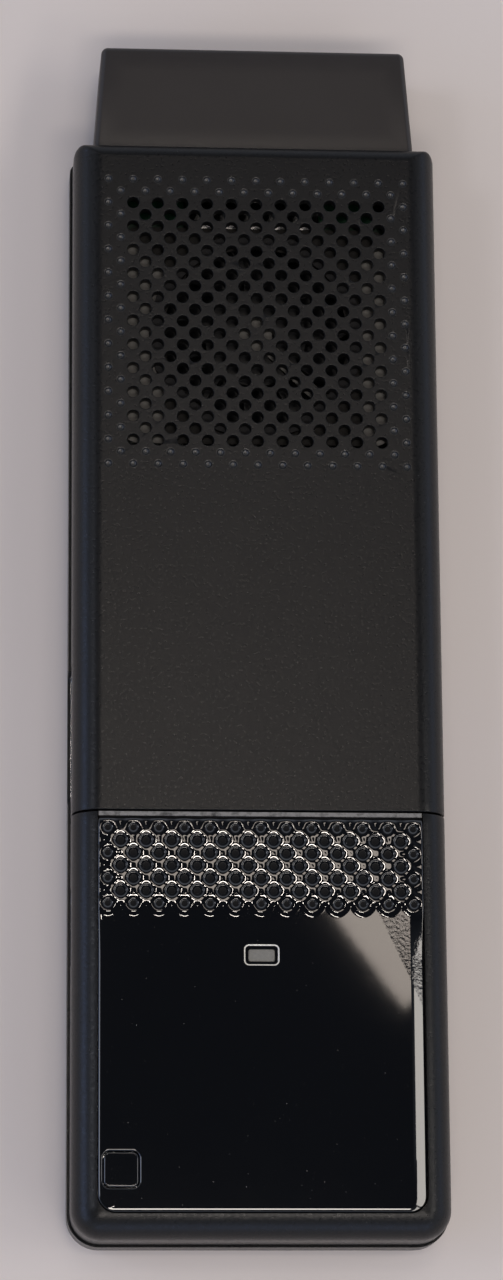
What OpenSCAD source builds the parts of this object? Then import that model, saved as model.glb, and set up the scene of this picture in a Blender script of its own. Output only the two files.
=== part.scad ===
// Stick computer that plugs straight into a display's HDMI socket.
// Millimetres. X runs across the stick, Y towards the HDMI plug, Z up.
// The origin is the centre of the flat underside.

/* [Body] */
// Length of the case without the cap
body_l = 113; // [108:0.5:120]
// Width of the case at the lower cover
body_w = 38; // [37:0.25:42]
// Height of the case
body_h = 12; // [11.6:0.1:13]
// Thickness of the flat top and bottom walls and of the front wall
wall = 1.2; // [1:0.1:1.5]
// Thickness of the long side walls and of the tail wall
side_wall = 1.4; // [1.2:0.1:1.8]
// Height of the parting line between the lower and the upper covers
part_z = 5; // [4.6:0.1:5.4]
// How far the lower cover stands out past the upper covers
lip = 0.25; // [0.1:0.05:0.4]
// Radius of the rolled top edges and of the tail corners
edge_r = 3; // [2:0.1:3.4]
// Radius of the rounded bottom edges
foot_r = 2; // [1:0.1:2.5]
// Radius of the two upright corners at the HDMI end
nose_r = 1; // [0.5:0.1:1.5]
// Radius of the rolled edge at the HDMI end
front_r = 1.5; // [0.8:0.1:2]
// Distance from the HDMI end to the seam between the front cover and the tail cover
seam_front = 70.4; // [69.5:0.1:71]
// Width of that seam
seam_gap = 0.2; // [0.1:0.05:0.4]
// Width of the front cover's sloped edge along that seam
seam_bevel = 0.45; // [0.2:0.05:0.8]
// Drop of that sloped edge
seam_drop = 0.15; // [0.05:0.05:0.3]
// Height of the locating rim that stands up inside the upper covers
rim_h = 0.8; // [0.5:0.1:1]
// Thickness of that rim
rim_t = 0.6; // [0.4:0.1:0.8]

/* [Grille] */
// Spacing of the holes in the grille and of the dimples on the gloss panel
pitch = 2.54; // [2.4:0.02:2.6]
// Distance from the HDMI end to the middle of the square grille
grille_front = 19.3; // [18.5:0.1:20]
// Least flat margin between the grille and the rolled edges beside it
grille_margin = 0.1; // [0:0.05:2]
// Diameter of the air holes
hole_d = 1.2; // [0.9:0.05:1.3]
// Diameter of the blind dots that frame the holes
dot_d = 0.75; // [0.5:0.05:0.9]
// Depth of the blind dots
dot_depth = 0.35; // [0.2:0.05:0.6]

/* [Gloss panel] */
// Distance from the panel's long edges to the sides of the upper covers
panel_side = 2.55; // [2.45:0.05:2.75]
// Distance from the panel's end to the tail of the case
panel_rim = 2.7; // [2.4:0.1:3.2]
// Thickness of the panel
panel_t = 0.9; // [0.7:0.05:1.1]
// Thickness of the shelf that carries the panel
shelf_t = 0.9; // [0.7:0.05:1.1]
// Radius of the panel's two tail corners
panel_r = 1.8; // [1.2:0.1:2.4]
// Radius of the panel's rolled edge
panel_edge_r = 0.6; // [0.3:0.05:0.65]
// Distance from the seam to the middle of the dimple field
dimple_back = 5.55; // [5.3:0.05:6.1]
// Least distance from the dimples to the panel's long edges
dimple_margin = 0.3; // [0.2:0.05:2]
// Rows of dimples
dimple_rows = 7; // [3:2:7]
// Diameter of the dimples inside the field
dimple_d = 1.56; // [1.2:0.02:1.6]
// Diameter of the dimples round the border of the field
dimple_rim_d = 1.2; // [0.8:0.02:1.3]
// Depth of the dimples
dimple_depth = 0.3; // [0.1:0.05:0.45]
// Width of the sloped wall round the flat floor of a dimple
dimple_wall = 0.18; // [0.1:0.02:0.26]

/* [Status window] */
// Width of the window's pane
window_w = 2.65; // [2:0.05:3.2]
// Length of the window's pane
window_l = 1.25; // [1:0.05:1.8]
// Distance from the seam to the middle of the window
window_back = 14.5; // [13:0.1:15.6]
// Width of the sunk frame round the pane
window_frame = 0.38; // [0.2:0.02:0.5]

/* [Power button] */
// Side of the square button
button_s = 3.4; // [3:0.1:4]
// Distance from the button's middle to the panel's long edge
button_side = 2.3; // [2.2:0.1:3.2]
// Distance from the button's middle to the tail of the case
button_tail = 6.9; // [6:0.1:8]
// Travel of the button
button_travel = 0.3; // [0.2:0.05:0.4]
// Gap round the button
button_gap = 0.12; // [0.08:0.02:0.2]

/* [Cap] */
// Length of the cap
cap_l = 11.1; // [10.6:0.1:13]
// How far the cap's sides lie inside the sides of the case
cap_side = 2.3; // [1.5:0.1:5]
// Height of the cap
cap_h = 8.8; // [8:0.1:9.6]
// Height of the cap's underside above the underside of the case
cap_lift = 1; // [0.6:0.1:1.4]
// Slope of the cap's two sides, in degrees
cap_draft = 4.4; // [0:0.2:6]
// Radius of the cap's outer corners
cap_r = 0.8; // [0.4:0.1:1.2]
// Gap between the cap and the case, and between the cap and the plug
cap_gap = 0.12; // [0.08:0.02:0.3]
// Thickness of the cap's end wall
cap_wall = 1.2; // [1:0.1:1.5]

/* [Board] */
// Height of the board's underside
board_z = 4.4; // [4.2:0.1:4.6]
// Thickness of the board
board_t = 1; // [0.8:0.1:1.2]
// Gap between the board and what stands beside it
board_gap = 0.3; // [0.15:0.05:0.5]
// Distance from the screws to the long edges of the board
screw_edge = 2.75; // [2.4:0.05:3.3]
// Distance from the HDMI end to the front pair of screws
screw_front = 38; // [37:0.5:39]
// Distance from the tail of the case to the rear pair of screws
screw_tail = 16.5; // [16:0.25:17.5]
// Diameter of the screws
screw_d = 1.4; // [1.2:0.1:1.6]
// Diameter of the screw heads
screw_head_d = 3; // [2.6:0.1:3.2]
// Height of the screw heads
screw_head_h = 0.8; // [0.6:0.1:1]
// Diameter of the posts that the board is screwed to
boss_d = 4; // [3.4:0.1:4.4]

/* [Processor and cooling] */
// Side of the processor
chip_s = 17; // [15:0.5:18]
// Height of the processor
chip_h = 1; // [0.8:0.1:1.2]
// Distance from the HDMI end to the middle of the processor
chip_front = 43.5; // [43:0.25:44]
// Thickness of the thermal pad
pad_t = 0.4; // [0.3:0.05:0.6]
// Thickness of the heat spreader
spreader_t = 0.6; // [0.5:0.05:0.8]
// Gap between the heat spreader and the side walls
spreader_gap = 0.75; // [0.5:0.05:1.6]
// Gap between the heat spreader and the back of the plug
spreader_back = 1.3; // [0.9:0.1:2.3]
// Number of cooling fins
fin_n = 10; // [6:1:12]
// Thickness of the fins
fin_t = 0.3; // [0.2:0.05:0.4]
// Spacing of the fins
fin_pitch = 1.6; // [1.4:0.1:1.6]
// Depth of the fins
fin_w = 2.4; // [1.6:0.1:2.4]

/* [Fan] */
// Distance from the HDMI end to the fan's shaft
fan_front = 20.3; // [19.9:0.1:20.7]
// Gap between the fan's frame and the fins
fin_gap = 0.2; // [0.1:0.05:0.6]
// Length of the fan's frame
fan_l = 23.2; // [22.6:0.2:24]
// Thickness of the fan's base
fan_base_t = 0.4; // [0.3:0.05:0.5]
// Thickness of the fan's cover plate
fan_cover_t = 0.3; // [0.2:0.05:0.4]
// Thickness of the foam ring over the fan
gasket_t = 0.5; // [0.3:0.05:0.6]
// Diameter of the intake
intake_d = 19; // [17:0.25:19.5]
// Diameter over the blades
rotor_d = 19.4; // [16:0.2:20]
// Diameter of the rotor's hub
hub_d = 10.4; // [9:0.2:11]
// Number of blades
blade_n = 11; // [7:1:15]
// Thickness of the blades
blade_t = 0.5; // [0.4:0.05:0.7]
// Diameter of the shaft
shaft_d = 1.2; // [1:0.05:1.4]
// Running gap round the shaft
shaft_gap = 0.05; // [0.03:0.01:0.08]
// Running gap over, under and round the rotor
rotor_gap = 0.25; // [0.15:0.05:0.3]

/* [HDMI plug] */
// Width of the plug's shell
hdmi_w = 13.9; // [13.7:0.05:14]
// Height of the plug's shell
hdmi_h = 4.45; // [4.35:0.05:4.55]
// How far the plug stands out of the case
hdmi_out = 9.6; // [9:0.1:9.8]
// Length of the plug inside the case
hdmi_in = 12.2; // [11:0.1:12.4]
// Thickness of the plug's shell
hdmi_t = 0.3; // [0.25:0.05:0.4]
// Contacts in the plug
hdmi_n = 19; // [19:1:19]

/* [USB sockets] */
// Distance from the HDMI end to the middle of the two wide sockets
usb_front = 61.5; // [60.5:0.1:61.9]
// Height of the middle of the wide sockets
usb_z = 5.7; // [5.5:0.05:5.9]
// Width inside a wide socket
usb_w = 12.5; // [12.4:0.05:12.7]
// Height inside a wide socket
usb_h = 5.12; // [5:0.02:5.3]
// Depth of a wide socket
usb_l = 14; // [13:0.25:14.2]
// Thickness of the sockets' metal
usb_t = 0.3; // [0.2:0.05:0.4]
// Width inside the power socket
power_w = 6.9; // [6.8:0.05:7.1]
// Height inside the power socket
power_h = 1.9; // [1.8:0.05:2]
// Depth of the power socket
power_l = 5.4; // [5:0.1:6]
// Gap between a socket and the edge of its opening in the case
port_gap = 0.2; // [0.1:0.05:0.3]
// How far the sockets' mouths lie behind the side of the case
port_inset = 0.3; // [0.2:0.05:0.6]

/* [Card slot] */
// Width of the card slot
card_w = 11.4; // [11.2:0.05:12]
// Height of the card slot
card_h = 0.9; // [0.8:0.05:1]
// Thickness of the card socket's walls
card_t = 0.25; // [0.2:0.05:0.3]
// Depth of the card socket
card_l = 14.5; // [13:0.25:15]

/* [Exhaust vents] */
// Number of exhaust slots
vent_n = 8; // [4:1:9]
// Width of an exhaust slot
vent_w = 1.1; // [0.8:0.05:1.3]
// Spacing of the exhaust slots
vent_pitch = 2.1; // [1.8:0.05:2.2]
// Distance from the HDMI end to the middle of the row of slots
vent_front = 21.5; // [20.5:0.25:22.5]

/* [Hidden] */
$fn = 48;

// A cut runs past the face that it opens by this much, and a sloped one by less
over = 1;
over_sloped = 0.05;

// Outside of the upper covers and inside of the case
top_hw = body_w / 2 - lip;
tail_y = -body_l / 2;
nose_y = body_l / 2;
in_hw = top_hw - side_wall;
in_tail = tail_y + lip + side_wall;
in_nose = nose_y - wall;
in_top = body_h - wall;
in_r = edge_r - wall;
rim_gap = 0.1;
rim_root = 1.2;
seam_y = nose_y - seam_front;
room_hw = in_hw - rim_gap - rim_t;
room_tail = in_tail + rim_gap + rim_t;
room_nose = in_nose - rim_gap - rim_t;

// Grille: as many holes as the flat top has room for
grille_y = nose_y - grille_front;
grille_n = 1 + floor((2 * (top_hw - edge_r - grille_margin) - dot_d) / pitch);

// Gloss panel and what sits in it
panel_w = 2 * (top_hw - panel_side);
panel_z = body_h - panel_t;
panel_y0 = tail_y + panel_rim;
panel_y1 = seam_y - seam_gap / 2;
panel_gap = 0.05;
seam_tongue_side = 1.55;
seam_tongue_w = 2 * (in_hw - in_r - seam_tongue_side);
seam_tongue_l = 1.5;
shelf_z = panel_z - shelf_t;
dimple_y = seam_y - dimple_back;
dimple_n = 1 + floor((panel_w - dimple_rim_d - 2 * dimple_margin) / pitch);
window_y = seam_y - window_back;
window_r = 0.25;
window_sunk = 0.25;
window_gap = 0.05;
window_flange = 0.5;
button_x = panel_w / 2 - button_side;
button_y = tail_y + button_tail;
button_r = 0.6;
button_flange = 0.35;
flange_t = 0.6;

// Board and what stands on it
board_top = board_z + board_t;
board_hw = room_hw - board_gap;
board_y0 = room_tail + board_gap;
board_y1 = room_nose - board_gap;
board_r = 1.2;
board_hole = 0.2;
screw_x = board_hw - screw_edge;
screw_front_y = nose_y - screw_front;
screw_rear_y = tail_y + screw_tail;
screw_gap = 0.05;
screw_end = 0.4;
slot_w = 0.35;
slot_l = 1.6;
slot_depth = 0.4;
led_h = 0.6;
led_gap = 0.2;
led_in = [0.3, 0.1];
switch_s = 4.2;
switch_h = 1.6;
plunger_d = 2;
plunger_h = 0.4;
plunger_in = 0.6;
press_gap = 0.1;
memory_s = [8, 10, 1];
memory_x = 6;
memory_tail = 18.5;
memory_y = tail_y + memory_tail;
storage_s = [11.5, 13, 1];
storage_x = -3;
storage_off = 1;
wireless_s = [14, 8.4, 1.8];
wireless_x = 5;
wireless_tail = 7.5;
wireless_y = tail_y + wireless_tail;
inductor_s = [4, 4, 2];
inductor_n = 4;
inductor_pitch = 5;
inductor_gap = 1.95;
antenna_t = 0.3;
antenna_h = 2;
antenna_z = 6.2;
antenna_tail = 7.5;
antenna_gap = 2;

// Cooling stack, from the board up to the grille
chip_y = nose_y - chip_front;
storage_y = chip_y + storage_off;
fan_y = nose_y - fan_front;
vent_y = nose_y - vent_front;
die_s = [10, 9];
die_h = 0.5;
pad_rim = 0.6;
pad_z = board_top + chip_h;
spreader_z = pad_z + pad_t;
spreader_w = 2 * (in_hw - spreader_gap);
spreader_r = 1;
spreader_y0 = chip_y - chip_s / 2;
spreader_y1 = nose_y - hdmi_in - spreader_back;
fan_w = spreader_w - 2 * (fin_w + fin_gap);
fan_r = 2;
fin_base = 0.2;
fan_z = spreader_z + spreader_t;
gasket_z = in_top - gasket_t;
fan_cover_z = gasket_z - fan_cover_t;
rotor_z0 = fan_z + fan_base_t + rotor_gap;
rotor_z1 = fan_cover_z - rotor_gap;
fan_wall = 0.8;
hub_wall = 0.6;
hub_top = 0.35;
blade_inset = 0.1;
blade_root = 0.2;
tube_wall = 0.9;
tooth_n = 6;
tooth_w = 1.8;
tooth_l = 0.4;
tooth_gap = 0.15;
end_gap = 0.05;
gasket_w = 1.5;
gasket_in = 0.2;
strut_w = 1.3;
strut_r = 1.7;
strut_root = 0.5;
post_d = 3;
post_off = 1.8;
post_y = fan_y + post_off;

// Plug and sockets
hdmi_z = board_z + board_t / 2;
hdmi_back = nose_y - hdmi_in;
hdmi_tip = nose_y + hdmi_out;
hdmi_bevel = 1.6;
plug_r = 0.4;
spring_x = 3.4;
spring_w = 1.8;
spring_l = 2.4;
insulator_fit = 0.02;
insulator_back = 0.4;
insulator_front = 0.6;
throat_in = 1.2;
throat_side = 1.3;
throat_wall = 0.75;
contact_w = 0.3;
contact_t = 0.15;
hdmi_pitch = 0.5;
usb_x1 = body_w / 2 - port_inset;
usb_y = nose_y - usb_front;
usb_y0 = usb_y - usb_w / 2 - usb_t;
usb_n = 4;
socket_r = 0.3;
inductor_y = usb_y0 - inductor_gap - inductor_s[1] / 2;
power_root = 1.2;
power_tongue_w = 3.8;
power_tongue_t = 0.6;
tongue_t = 1.84;
tongue_w = 11;
tongue_lift = 0.9;
tongue_z = usb_z + tongue_lift - tongue_t / 2;
tongue_back = 0.7;
tongue_root = 2.4;
tongue_fit = 0.03;
pad_l = 8;
pad_w = 1;
pad_pitch = 2.4;
finger_x = 3.6;
finger_l = 3.4;
finger_w = 2;
finger_y = 3.2;
card_z = board_z - card_h - 2 * card_t;
card_stop = 0.8;
power_z = board_top + usb_t + power_h / 2;
// The power socket and the card slot lie midway between a wide socket and a rear screw
power_y = (usb_y0 + screw_rear_y + boss_d / 2) / 2;
card_y = power_y;
antenna_y0 = tail_y + antenna_tail;
antenna_y1 = power_y - power_w / 2 - usb_t - antenna_gap;
vent_z0 = fan_z;
vent_z1 = body_h - edge_r;
vent_flat = 0.1;
cap_w = body_w - 2 * cap_side;
cap_z = cap_lift + cap_h / 2;

// Outline helpers. A square corner gets a true quarter arc. At a slanted corner
// the arc lies this much further out, so that it crosses the sides cleanly.
slant_gap = 0.003;
function unit(v) = v / norm(v);
function is_square(p, a, b) = abs(unit(a - p) * unit(b - p)) < 0.0001;
function half_turn(p, a, b) = acos(unit(a - p) * unit(b - p)) / 2;
function arc_mid(p, a, b, r) = p + unit(unit(a - p) + unit(b - p)) * r / sin(half_turn(p, a, b));
function arc_ends(p, a, b, r) = [for (q = [a, b]) p + unit(q - p) * r / tan(half_turn(p, a, b))];
function corner(p, a, b, r) = r > 0 && is_square(p, a, b)
    ? [arc_ends(p, a, b, r)[0], arc_mid(p, a, b, r), arc_ends(p, a, b, r)[1]] : [p];

// Part of the plane between the two ends of a corner's arc, seen from its middle
module wedge(p, a, b, r) {
    m = arc_mid(p, a, b, r);
    e = arc_ends(p, a, b, r);
    polygon([m, 2 * e[0] - m, 2 * e[0] + 2 * e[1] - 3 * m, 2 * e[1] - m]);
}

// Convex outline with one corner radius for each point
module rounded(pts, radii) {
    n = len(pts);
    before = [for (i = [0:n - 1]) pts[(i + n - 1) % n]];
    after = [for (i = [0:n - 1]) pts[(i + 1) % n]];
    difference() {
        union() {
            polygon([for (i = [0:n - 1]) each corner(pts[i], before[i], after[i], radii[i])]);
            for (i = [0:n - 1]) if (radii[i] > 0 && is_square(pts[i], before[i], after[i])) intersection() {
                translate(arc_mid(pts[i], before[i], after[i], radii[i])) circle(radii[i]);
                wedge(pts[i], before[i], after[i], radii[i]);
            }
        }
        for (i = [0:n - 1]) if (radii[i] > 0 && !is_square(pts[i], before[i], after[i])) difference() {
            wedge(pts[i], before[i], after[i], radii[i]);
            translate(arc_mid(pts[i], before[i], after[i], radii[i])) circle(radii[i] + slant_gap);
        }
    }
}

// Rectangle about the origin with four equal corner radii
module round_rect(w, l, r) {
    rounded([[-w / 2, -l / 2], [w / 2, -l / 2], [w / 2, l / 2], [-w / 2, l / 2]], [r, r, r, r]);
}

// Rectangle between two corners with equal radii on its low Y and high Y sides
module round_span(x0, y0, x1, y1, r0, r1) {
    rounded([[x0, y0], [x1, y0], [x1, y1], [x0, y1]], [r0, r0, r1, r1]);
}

// Block with its lowest point at z, about x and y
module block(x, y, z, s) {
    translate([x - s[0] / 2, y - s[1] / 2, z]) cube(s);
}

// Sweep an outline of the X and Z directions along Y
module along_y(y0, y1) {
    translate([0, y1, 0]) rotate([90, 0, 0]) linear_extrude(y1 - y0) children();
}

// Sweep an outline of the Y and Z directions along X
module along_x(x0, x1) {
    translate([x0, 0, 0]) rotate([90, 0, 90]) linear_extrude(x1 - x0) children();
}

// Tray with a rounded rim: half width, tail, nose, low and high Z, radius of
// the tail corners and of the edge at the high Z. The nose end is cut square.
module pillow(hw, y0, y1, z0, z1, plan_r, r) {
    along_y(y0 + plan_r, y1)
        rounded([[-hw, z0], [hw, z0], [hw, z1], [-hw, z1]], [0, 0, r, r]);
    along_x(-hw + plan_r, hw - plan_r)
        rounded([[y0, z0], [y0 + plan_r, z0], [y0 + plan_r, z1], [y0, z1]], [0, 0, 0, r]);
    for (s = [0, 1]) mirror([s, 0, 0])
        translate([hw - plan_r, y0 + plan_r, 0]) rotate([0, 0, -90]) rotate_extrude(angle = 90)
            rounded([[0, z0], [plan_r, z0], [plan_r, z1], [0, z1]], [0, 0, r, 0]);
}

// The same tray standing on its rounded edge
module pillow_down(hw, y0, y1, z0, z1, plan_r, r) {
    translate([0, 0, z0 + z1]) mirror([0, 0, 1]) pillow(hw, y0, y1, z0, z1, plan_r, r);
}

// What the HDMI end leaves standing of a case of this half width: the round
// upright corners and the rolled top edge
module nose_form(hw) {
    linear_extrude(body_h) round_span(-hw, tail_y, hw, nose_y, 0, nose_r);
}
module nose_roll(hw) {
    along_x(-hw, hw)
        rounded([[tail_y, 0], [nose_y, 0], [nose_y, body_h], [tail_y, body_h]], [0, 0, front_r, 0]);
}

// Both upper covers as one closed tray
module upper_form() {
    intersection() {
        pillow(top_hw, tail_y + lip, nose_y, part_z, body_h, edge_r, edge_r);
        nose_form(top_hw);
        nose_roll(top_hw);
    }
}

// Room inside the case, from the floor to the ceiling
module upper_room(top) {
    pillow(in_hw, in_tail, in_nose, part_z - over, top, in_r, in_r);
}
module lower_room() {
    translate([0, 0, wall]) linear_extrude(part_z - wall + over)
        round_span(-in_hw, in_tail, in_hw, in_nose, in_r, 0);
}

// Openings that the plug, the sockets, the card and the air need in the case
module plug_outline(grow) {
    w = hdmi_w / 2 + grow;
    h = hdmi_h / 2 + grow;
    b = hdmi_bevel;
    rounded([[-w + b, -h], [w - b, -h], [w, -h + b], [w, h], [-w, h], [-w, -h + b]],
        [plug_r, plug_r, plug_r, plug_r, plug_r, plug_r]);
}
module usb_outline(grow) {
    round_rect(usb_w + 2 * grow, usb_h + 2 * grow, socket_r + grow);
}
module power_outline(grow) {
    w = power_w / 2 + grow;
    h = power_h / 2 + grow;
    b = power_h / 2;
    rounded([[-w + b, -h], [w - b, -h], [w, -h + b], [w, h], [-w, h], [-w, -h + b]],
        [socket_r, socket_r, socket_r, socket_r, socket_r, socket_r]);
}
module port_cuts() {
    along_y(in_nose - over, nose_y + over) translate([0, hdmi_z]) plug_outline(port_gap);
    for (s = [0, 1]) mirror([s, 0, 0]) along_x(in_hw - over, body_w / 2 + over)
        translate([usb_y, usb_z]) usb_outline(usb_t + port_gap);
    along_x(-body_w / 2 - over, -in_hw + over)
        translate([power_y, power_z]) power_outline(usb_t + port_gap);
    along_x(in_hw - over, body_w / 2 + over)
        translate([card_y, card_z + card_t + card_h / 2])
            round_rect(card_w + 2 * port_gap, card_h + 2 * port_gap, port_gap);
}
module vent_cuts() {
    for (i = [0:vent_n - 1])
        along_x(in_hw - over, body_w / 2 + over)
            translate([vent_y + (i - (vent_n - 1) / 2) * vent_pitch, (vent_z0 + vent_z1) / 2])
                round_rect(vent_w, vent_z1 - vent_z0, (vent_w - vent_flat) / 2);
}

// Case
module bottom_cover() {
    color("#2b2d30") difference() {
        union() {
            difference() {
                intersection() {
                    pillow_down(body_w / 2, tail_y, nose_y, 0, part_z, edge_r + lip, foot_r);
                    nose_form(body_w / 2);
                }
                lower_room();
            }
            locating_rim();
            for (x = [-screw_x, screw_x], y = [screw_front_y, screw_rear_y])
                translate([x, y, wall]) cylinder(d = boss_d, h = board_z - wall);
        }
        port_cuts();
        for (x = [-screw_x, screw_x], y = [screw_front_y, screw_rear_y])
            translate([x, y, wall]) cylinder(d = screw_d + 2 * screw_gap, h = board_z);
    }
}

// Rim that the upper covers slip over, on a root along the top of the wall
module locating_rim() {
    difference() {
        union() {
            translate([0, 0, part_z - rim_root]) linear_extrude(rim_root)
                round_span(-in_hw, in_tail, in_hw, in_nose, in_r, 0);
            translate([0, 0, part_z]) linear_extrude(rim_h)
                round_span(-in_hw + rim_gap, in_tail + rim_gap, in_hw - rim_gap, in_nose - rim_gap,
                    in_r - rim_gap, 0);
        }
        translate([0, 0, wall]) linear_extrude(body_h)
            round_span(-room_hw, room_tail, room_hw, room_nose, in_r - rim_gap - rim_t, 0);
    }
}

// Centres of the grille: a square lattice with a second one in its gaps
function lattice(n) = concat(
    [for (i = [0:n - 1], j = [0:n - 1]) [i - (n - 1) / 2, j - (n - 1) / 2]],
    [for (i = [0:n - 2], j = [0:n - 2]) [i - (n - 2) / 2, j - (n - 2) / 2]]);
function is_dot(p) = max(abs(p[0]), abs(p[1])) > (grille_n - 1) / 2 - 0.75;

// What the sloped edge takes off the front cover along the seam
module seam_slope() {
    y0 = seam_y + seam_gap / 2;
    k = seam_drop / seam_bevel;
    along_x(-body_w, body_w)
        polygon([[y0 - over, body_h - seam_drop - k * over], [y0 + seam_bevel + over, body_h + k * over],
            [y0 - over, body_h + k * over]]);
}

module top_cover() {
    color("#2b2d30") difference() {
        intersection() {
            upper_form();
            translate([-body_w, seam_y + seam_gap / 2, 0]) cube([2 * body_w, body_l, body_h]);
        }
        upper_room(in_top);
        seam_slope();
        port_cuts();
        vent_cuts();
        for (p = lattice(grille_n)) translate([p[0] * pitch, grille_y + p[1] * pitch, 0])
            if (is_dot(p)) translate([0, 0, body_h - dot_depth]) cylinder(d = dot_d, h = wall);
            else translate([0, 0, in_top - over]) cylinder(d = hole_d, h = wall + 2 * over);
    }
}

module tail_cover() {
    color("#2b2d30") difference() {
        union() {
            intersection() {
                difference() {
                    upper_form();
                    upper_room(shelf_z);
                }
                translate([-body_w, tail_y, 0])
                    cube([2 * body_w, seam_y - seam_gap / 2 - tail_y, body_h]);
            }
            // Tongue that closes the seam from below
            translate([-seam_tongue_w / 2, seam_y - seam_tongue_l, shelf_z])
                cube([seam_tongue_w, 2 * seam_tongue_l, in_top - rim_gap - shelf_z]);
        }
        translate([0, 0, panel_z]) linear_extrude(panel_t + over) panel_outline(panel_gap);
        port_cuts();
        translate([0, window_y, shelf_z - over]) linear_extrude(body_h)
            round_rect(window_w + 2 * window_gap, window_l + 2 * window_gap, window_r);
        translate([-button_x, button_y, shelf_z - over]) linear_extrude(body_h)
            round_rect(button_s + 2 * button_gap, button_s + 2 * button_gap, button_r + button_gap);
    }
}

// Gloss panel: square at the seam, round at the tail
module panel_outline(grow) {
    round_span(-panel_w / 2 - grow, panel_y0 - grow, panel_w / 2 + grow, panel_y1 + over,
        panel_r + grow, 0);
}

// Centres of the dimples, flat-floored: full rows and rows shifted by half a step
function dimples(rows) = [
    for (i = [0:rows - 1]) let (n = dimple_n - i % 2)
        for (j = [0:n - 1]) [j - (n - 1) / 2, (i - (rows - 1) / 2) / 2]];
function is_rim(p, rows) = abs(p[1]) > (rows - 1) / 4 - 0.1 || abs(p[0]) > (dimple_n - 1) / 2 - 0.1;

module gloss_panel() {
    color("#0c0d10") difference() {
        intersection() {
            pillow(panel_w / 2, panel_y0, panel_y1, panel_z, body_h, panel_r, panel_edge_r);
            along_x(-panel_w, panel_w)
                rounded([[panel_y0 - over, panel_z], [panel_y1, panel_z], [panel_y1, body_h],
                    [panel_y0 - over, body_h]], [0, 0, panel_edge_r / 2, 0]);
        }
        for (p = dimples(dimple_rows)) {
            d = is_rim(p, dimple_rows) ? dimple_rim_d : dimple_d;
            translate([p[0] * pitch, dimple_y + p[1] * pitch, body_h - dimple_depth])
                cylinder(d1 = d - 2 * dimple_wall, d2 = d + 2 * dimple_wall * over_sloped / dimple_depth,
                    h = dimple_depth + over_sloped);
        }
        translate([0, window_y, panel_z - over]) linear_extrude(body_h)
            round_rect(window_w + 2 * window_gap, window_l + 2 * window_gap, window_r);
        translate([0, window_y, body_h - window_sunk]) linear_extrude(body_h)
            round_rect(window_w + 2 * window_frame, window_l + 2 * window_frame, window_r + window_frame / 2);
        translate([-button_x, button_y, panel_z - over]) linear_extrude(body_h)
            round_rect(button_s + 2 * button_gap, button_s + 2 * button_gap, button_r + button_gap);
    }
}

// Light guide from the lamp on the board up to the panel
module status_window() {
    z0 = board_top + led_h + led_gap;
    color("#d8d8d2") translate([0, window_y, 0]) {
        translate([0, 0, z0]) linear_extrude(body_h - window_sunk - z0)
            round_rect(window_w, window_l, window_r);
        translate([0, 0, shelf_z - flange_t]) linear_extrude(flange_t)
            round_rect(window_w + 2 * window_flange, window_l + 2 * window_flange, window_r + window_flange);
    }
}

// Button with the flange that keeps it in and the stem that meets the switch
module power_button() {
    z0 = board_top + switch_h + plunger_h;
    z1 = shelf_z - press_gap;
    color("#0c0d10") translate([-button_x, button_y, 0]) {
        translate([0, 0, z1 - flange_t]) linear_extrude(body_h - z1 + flange_t)
            round_rect(button_s, button_s, button_r);
        translate([0, 0, z1 - flange_t]) linear_extrude(flange_t)
            round_rect(button_s + 2 * button_flange, button_s + 2 * button_flange, button_r);
        translate([0, 0, z0]) cylinder(d = plunger_d, h = z1 - z0);
    }
}

// Cap over the plug: sloped sides and a socket that grips the plug
module hdmi_cap() {
    y0 = nose_y + cap_gap;
    y1 = nose_y + cap_l;
    w0 = cap_w / 2;
    w1 = w0 - (y1 - y0) * tan(cap_draft);
    color("#1b1c1e") difference() {
        intersection() {
            translate([0, 0, cap_z - cap_h / 2]) linear_extrude(cap_h)
                rounded([[-w0, y0], [w0, y0], [w1, y1], [-w1, y1]], [0, 0, cap_r, cap_r]);
            along_x(-w0, w0)
                rounded([[y0, cap_z - cap_h / 2], [y1, cap_z - cap_h / 2], [y1, cap_z + cap_h / 2],
                    [y0, cap_z + cap_h / 2]], [0, cap_r, cap_r, 0]);
        }
        along_y(y0 - over, y1 - cap_wall) translate([0, hdmi_z]) plug_outline(cap_gap);
    }
}

// HDMI plug
module hdmi_shell() {
    color("#b9bbbe") difference() {
        along_y(hdmi_back, hdmi_tip) translate([0, hdmi_z]) plug_outline(0);
        along_y(hdmi_back - over, hdmi_tip + over) translate([0, hdmi_z]) plug_outline(-hdmi_t);
        // Two spring windows in each broad face, as the socket's latches need
        for (x = [-spring_x, spring_x])
            translate([x - spring_w / 2, nose_y + hdmi_out / 2 - spring_l / 2, 0])
                cube([spring_w, spring_l, body_h]);
    }
}
module hdmi_insulator() {
    throat_w = hdmi_w - 2 * (hdmi_t + throat_side);
    throat_h = hdmi_h - 2 * (hdmi_t + throat_wall);
    color("#17181a") difference() {
        along_y(hdmi_back + insulator_back, hdmi_tip - insulator_front)
            translate([0, hdmi_z]) plug_outline(-hdmi_t - insulator_fit);
        along_y(nose_y + throat_in, hdmi_tip)
            translate([0, hdmi_z]) round_rect(throat_w, throat_h, socket_r);
        for (i = [0:hdmi_n - 1]) contact_bed(i, contact_t + insulator_fit);
    }
}
module contact_bed(i, depth) {
    up = i % 2 == 0 ? 1 : -1;
    z = hdmi_z + up * (hdmi_h / 2 - hdmi_t - throat_wall + depth / 2);
    x = (i - (hdmi_n - 1) / 2) * hdmi_pitch - contact_w / 2;
    translate([x, nose_y + throat_in, z - depth / 2])
        cube([contact_w, hdmi_out - throat_in - insulator_front, depth]);
}
module hdmi_contacts() {
    color("#c9a24a") for (i = [0:hdmi_n - 1]) contact_bed(i, contact_t);
}

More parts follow.
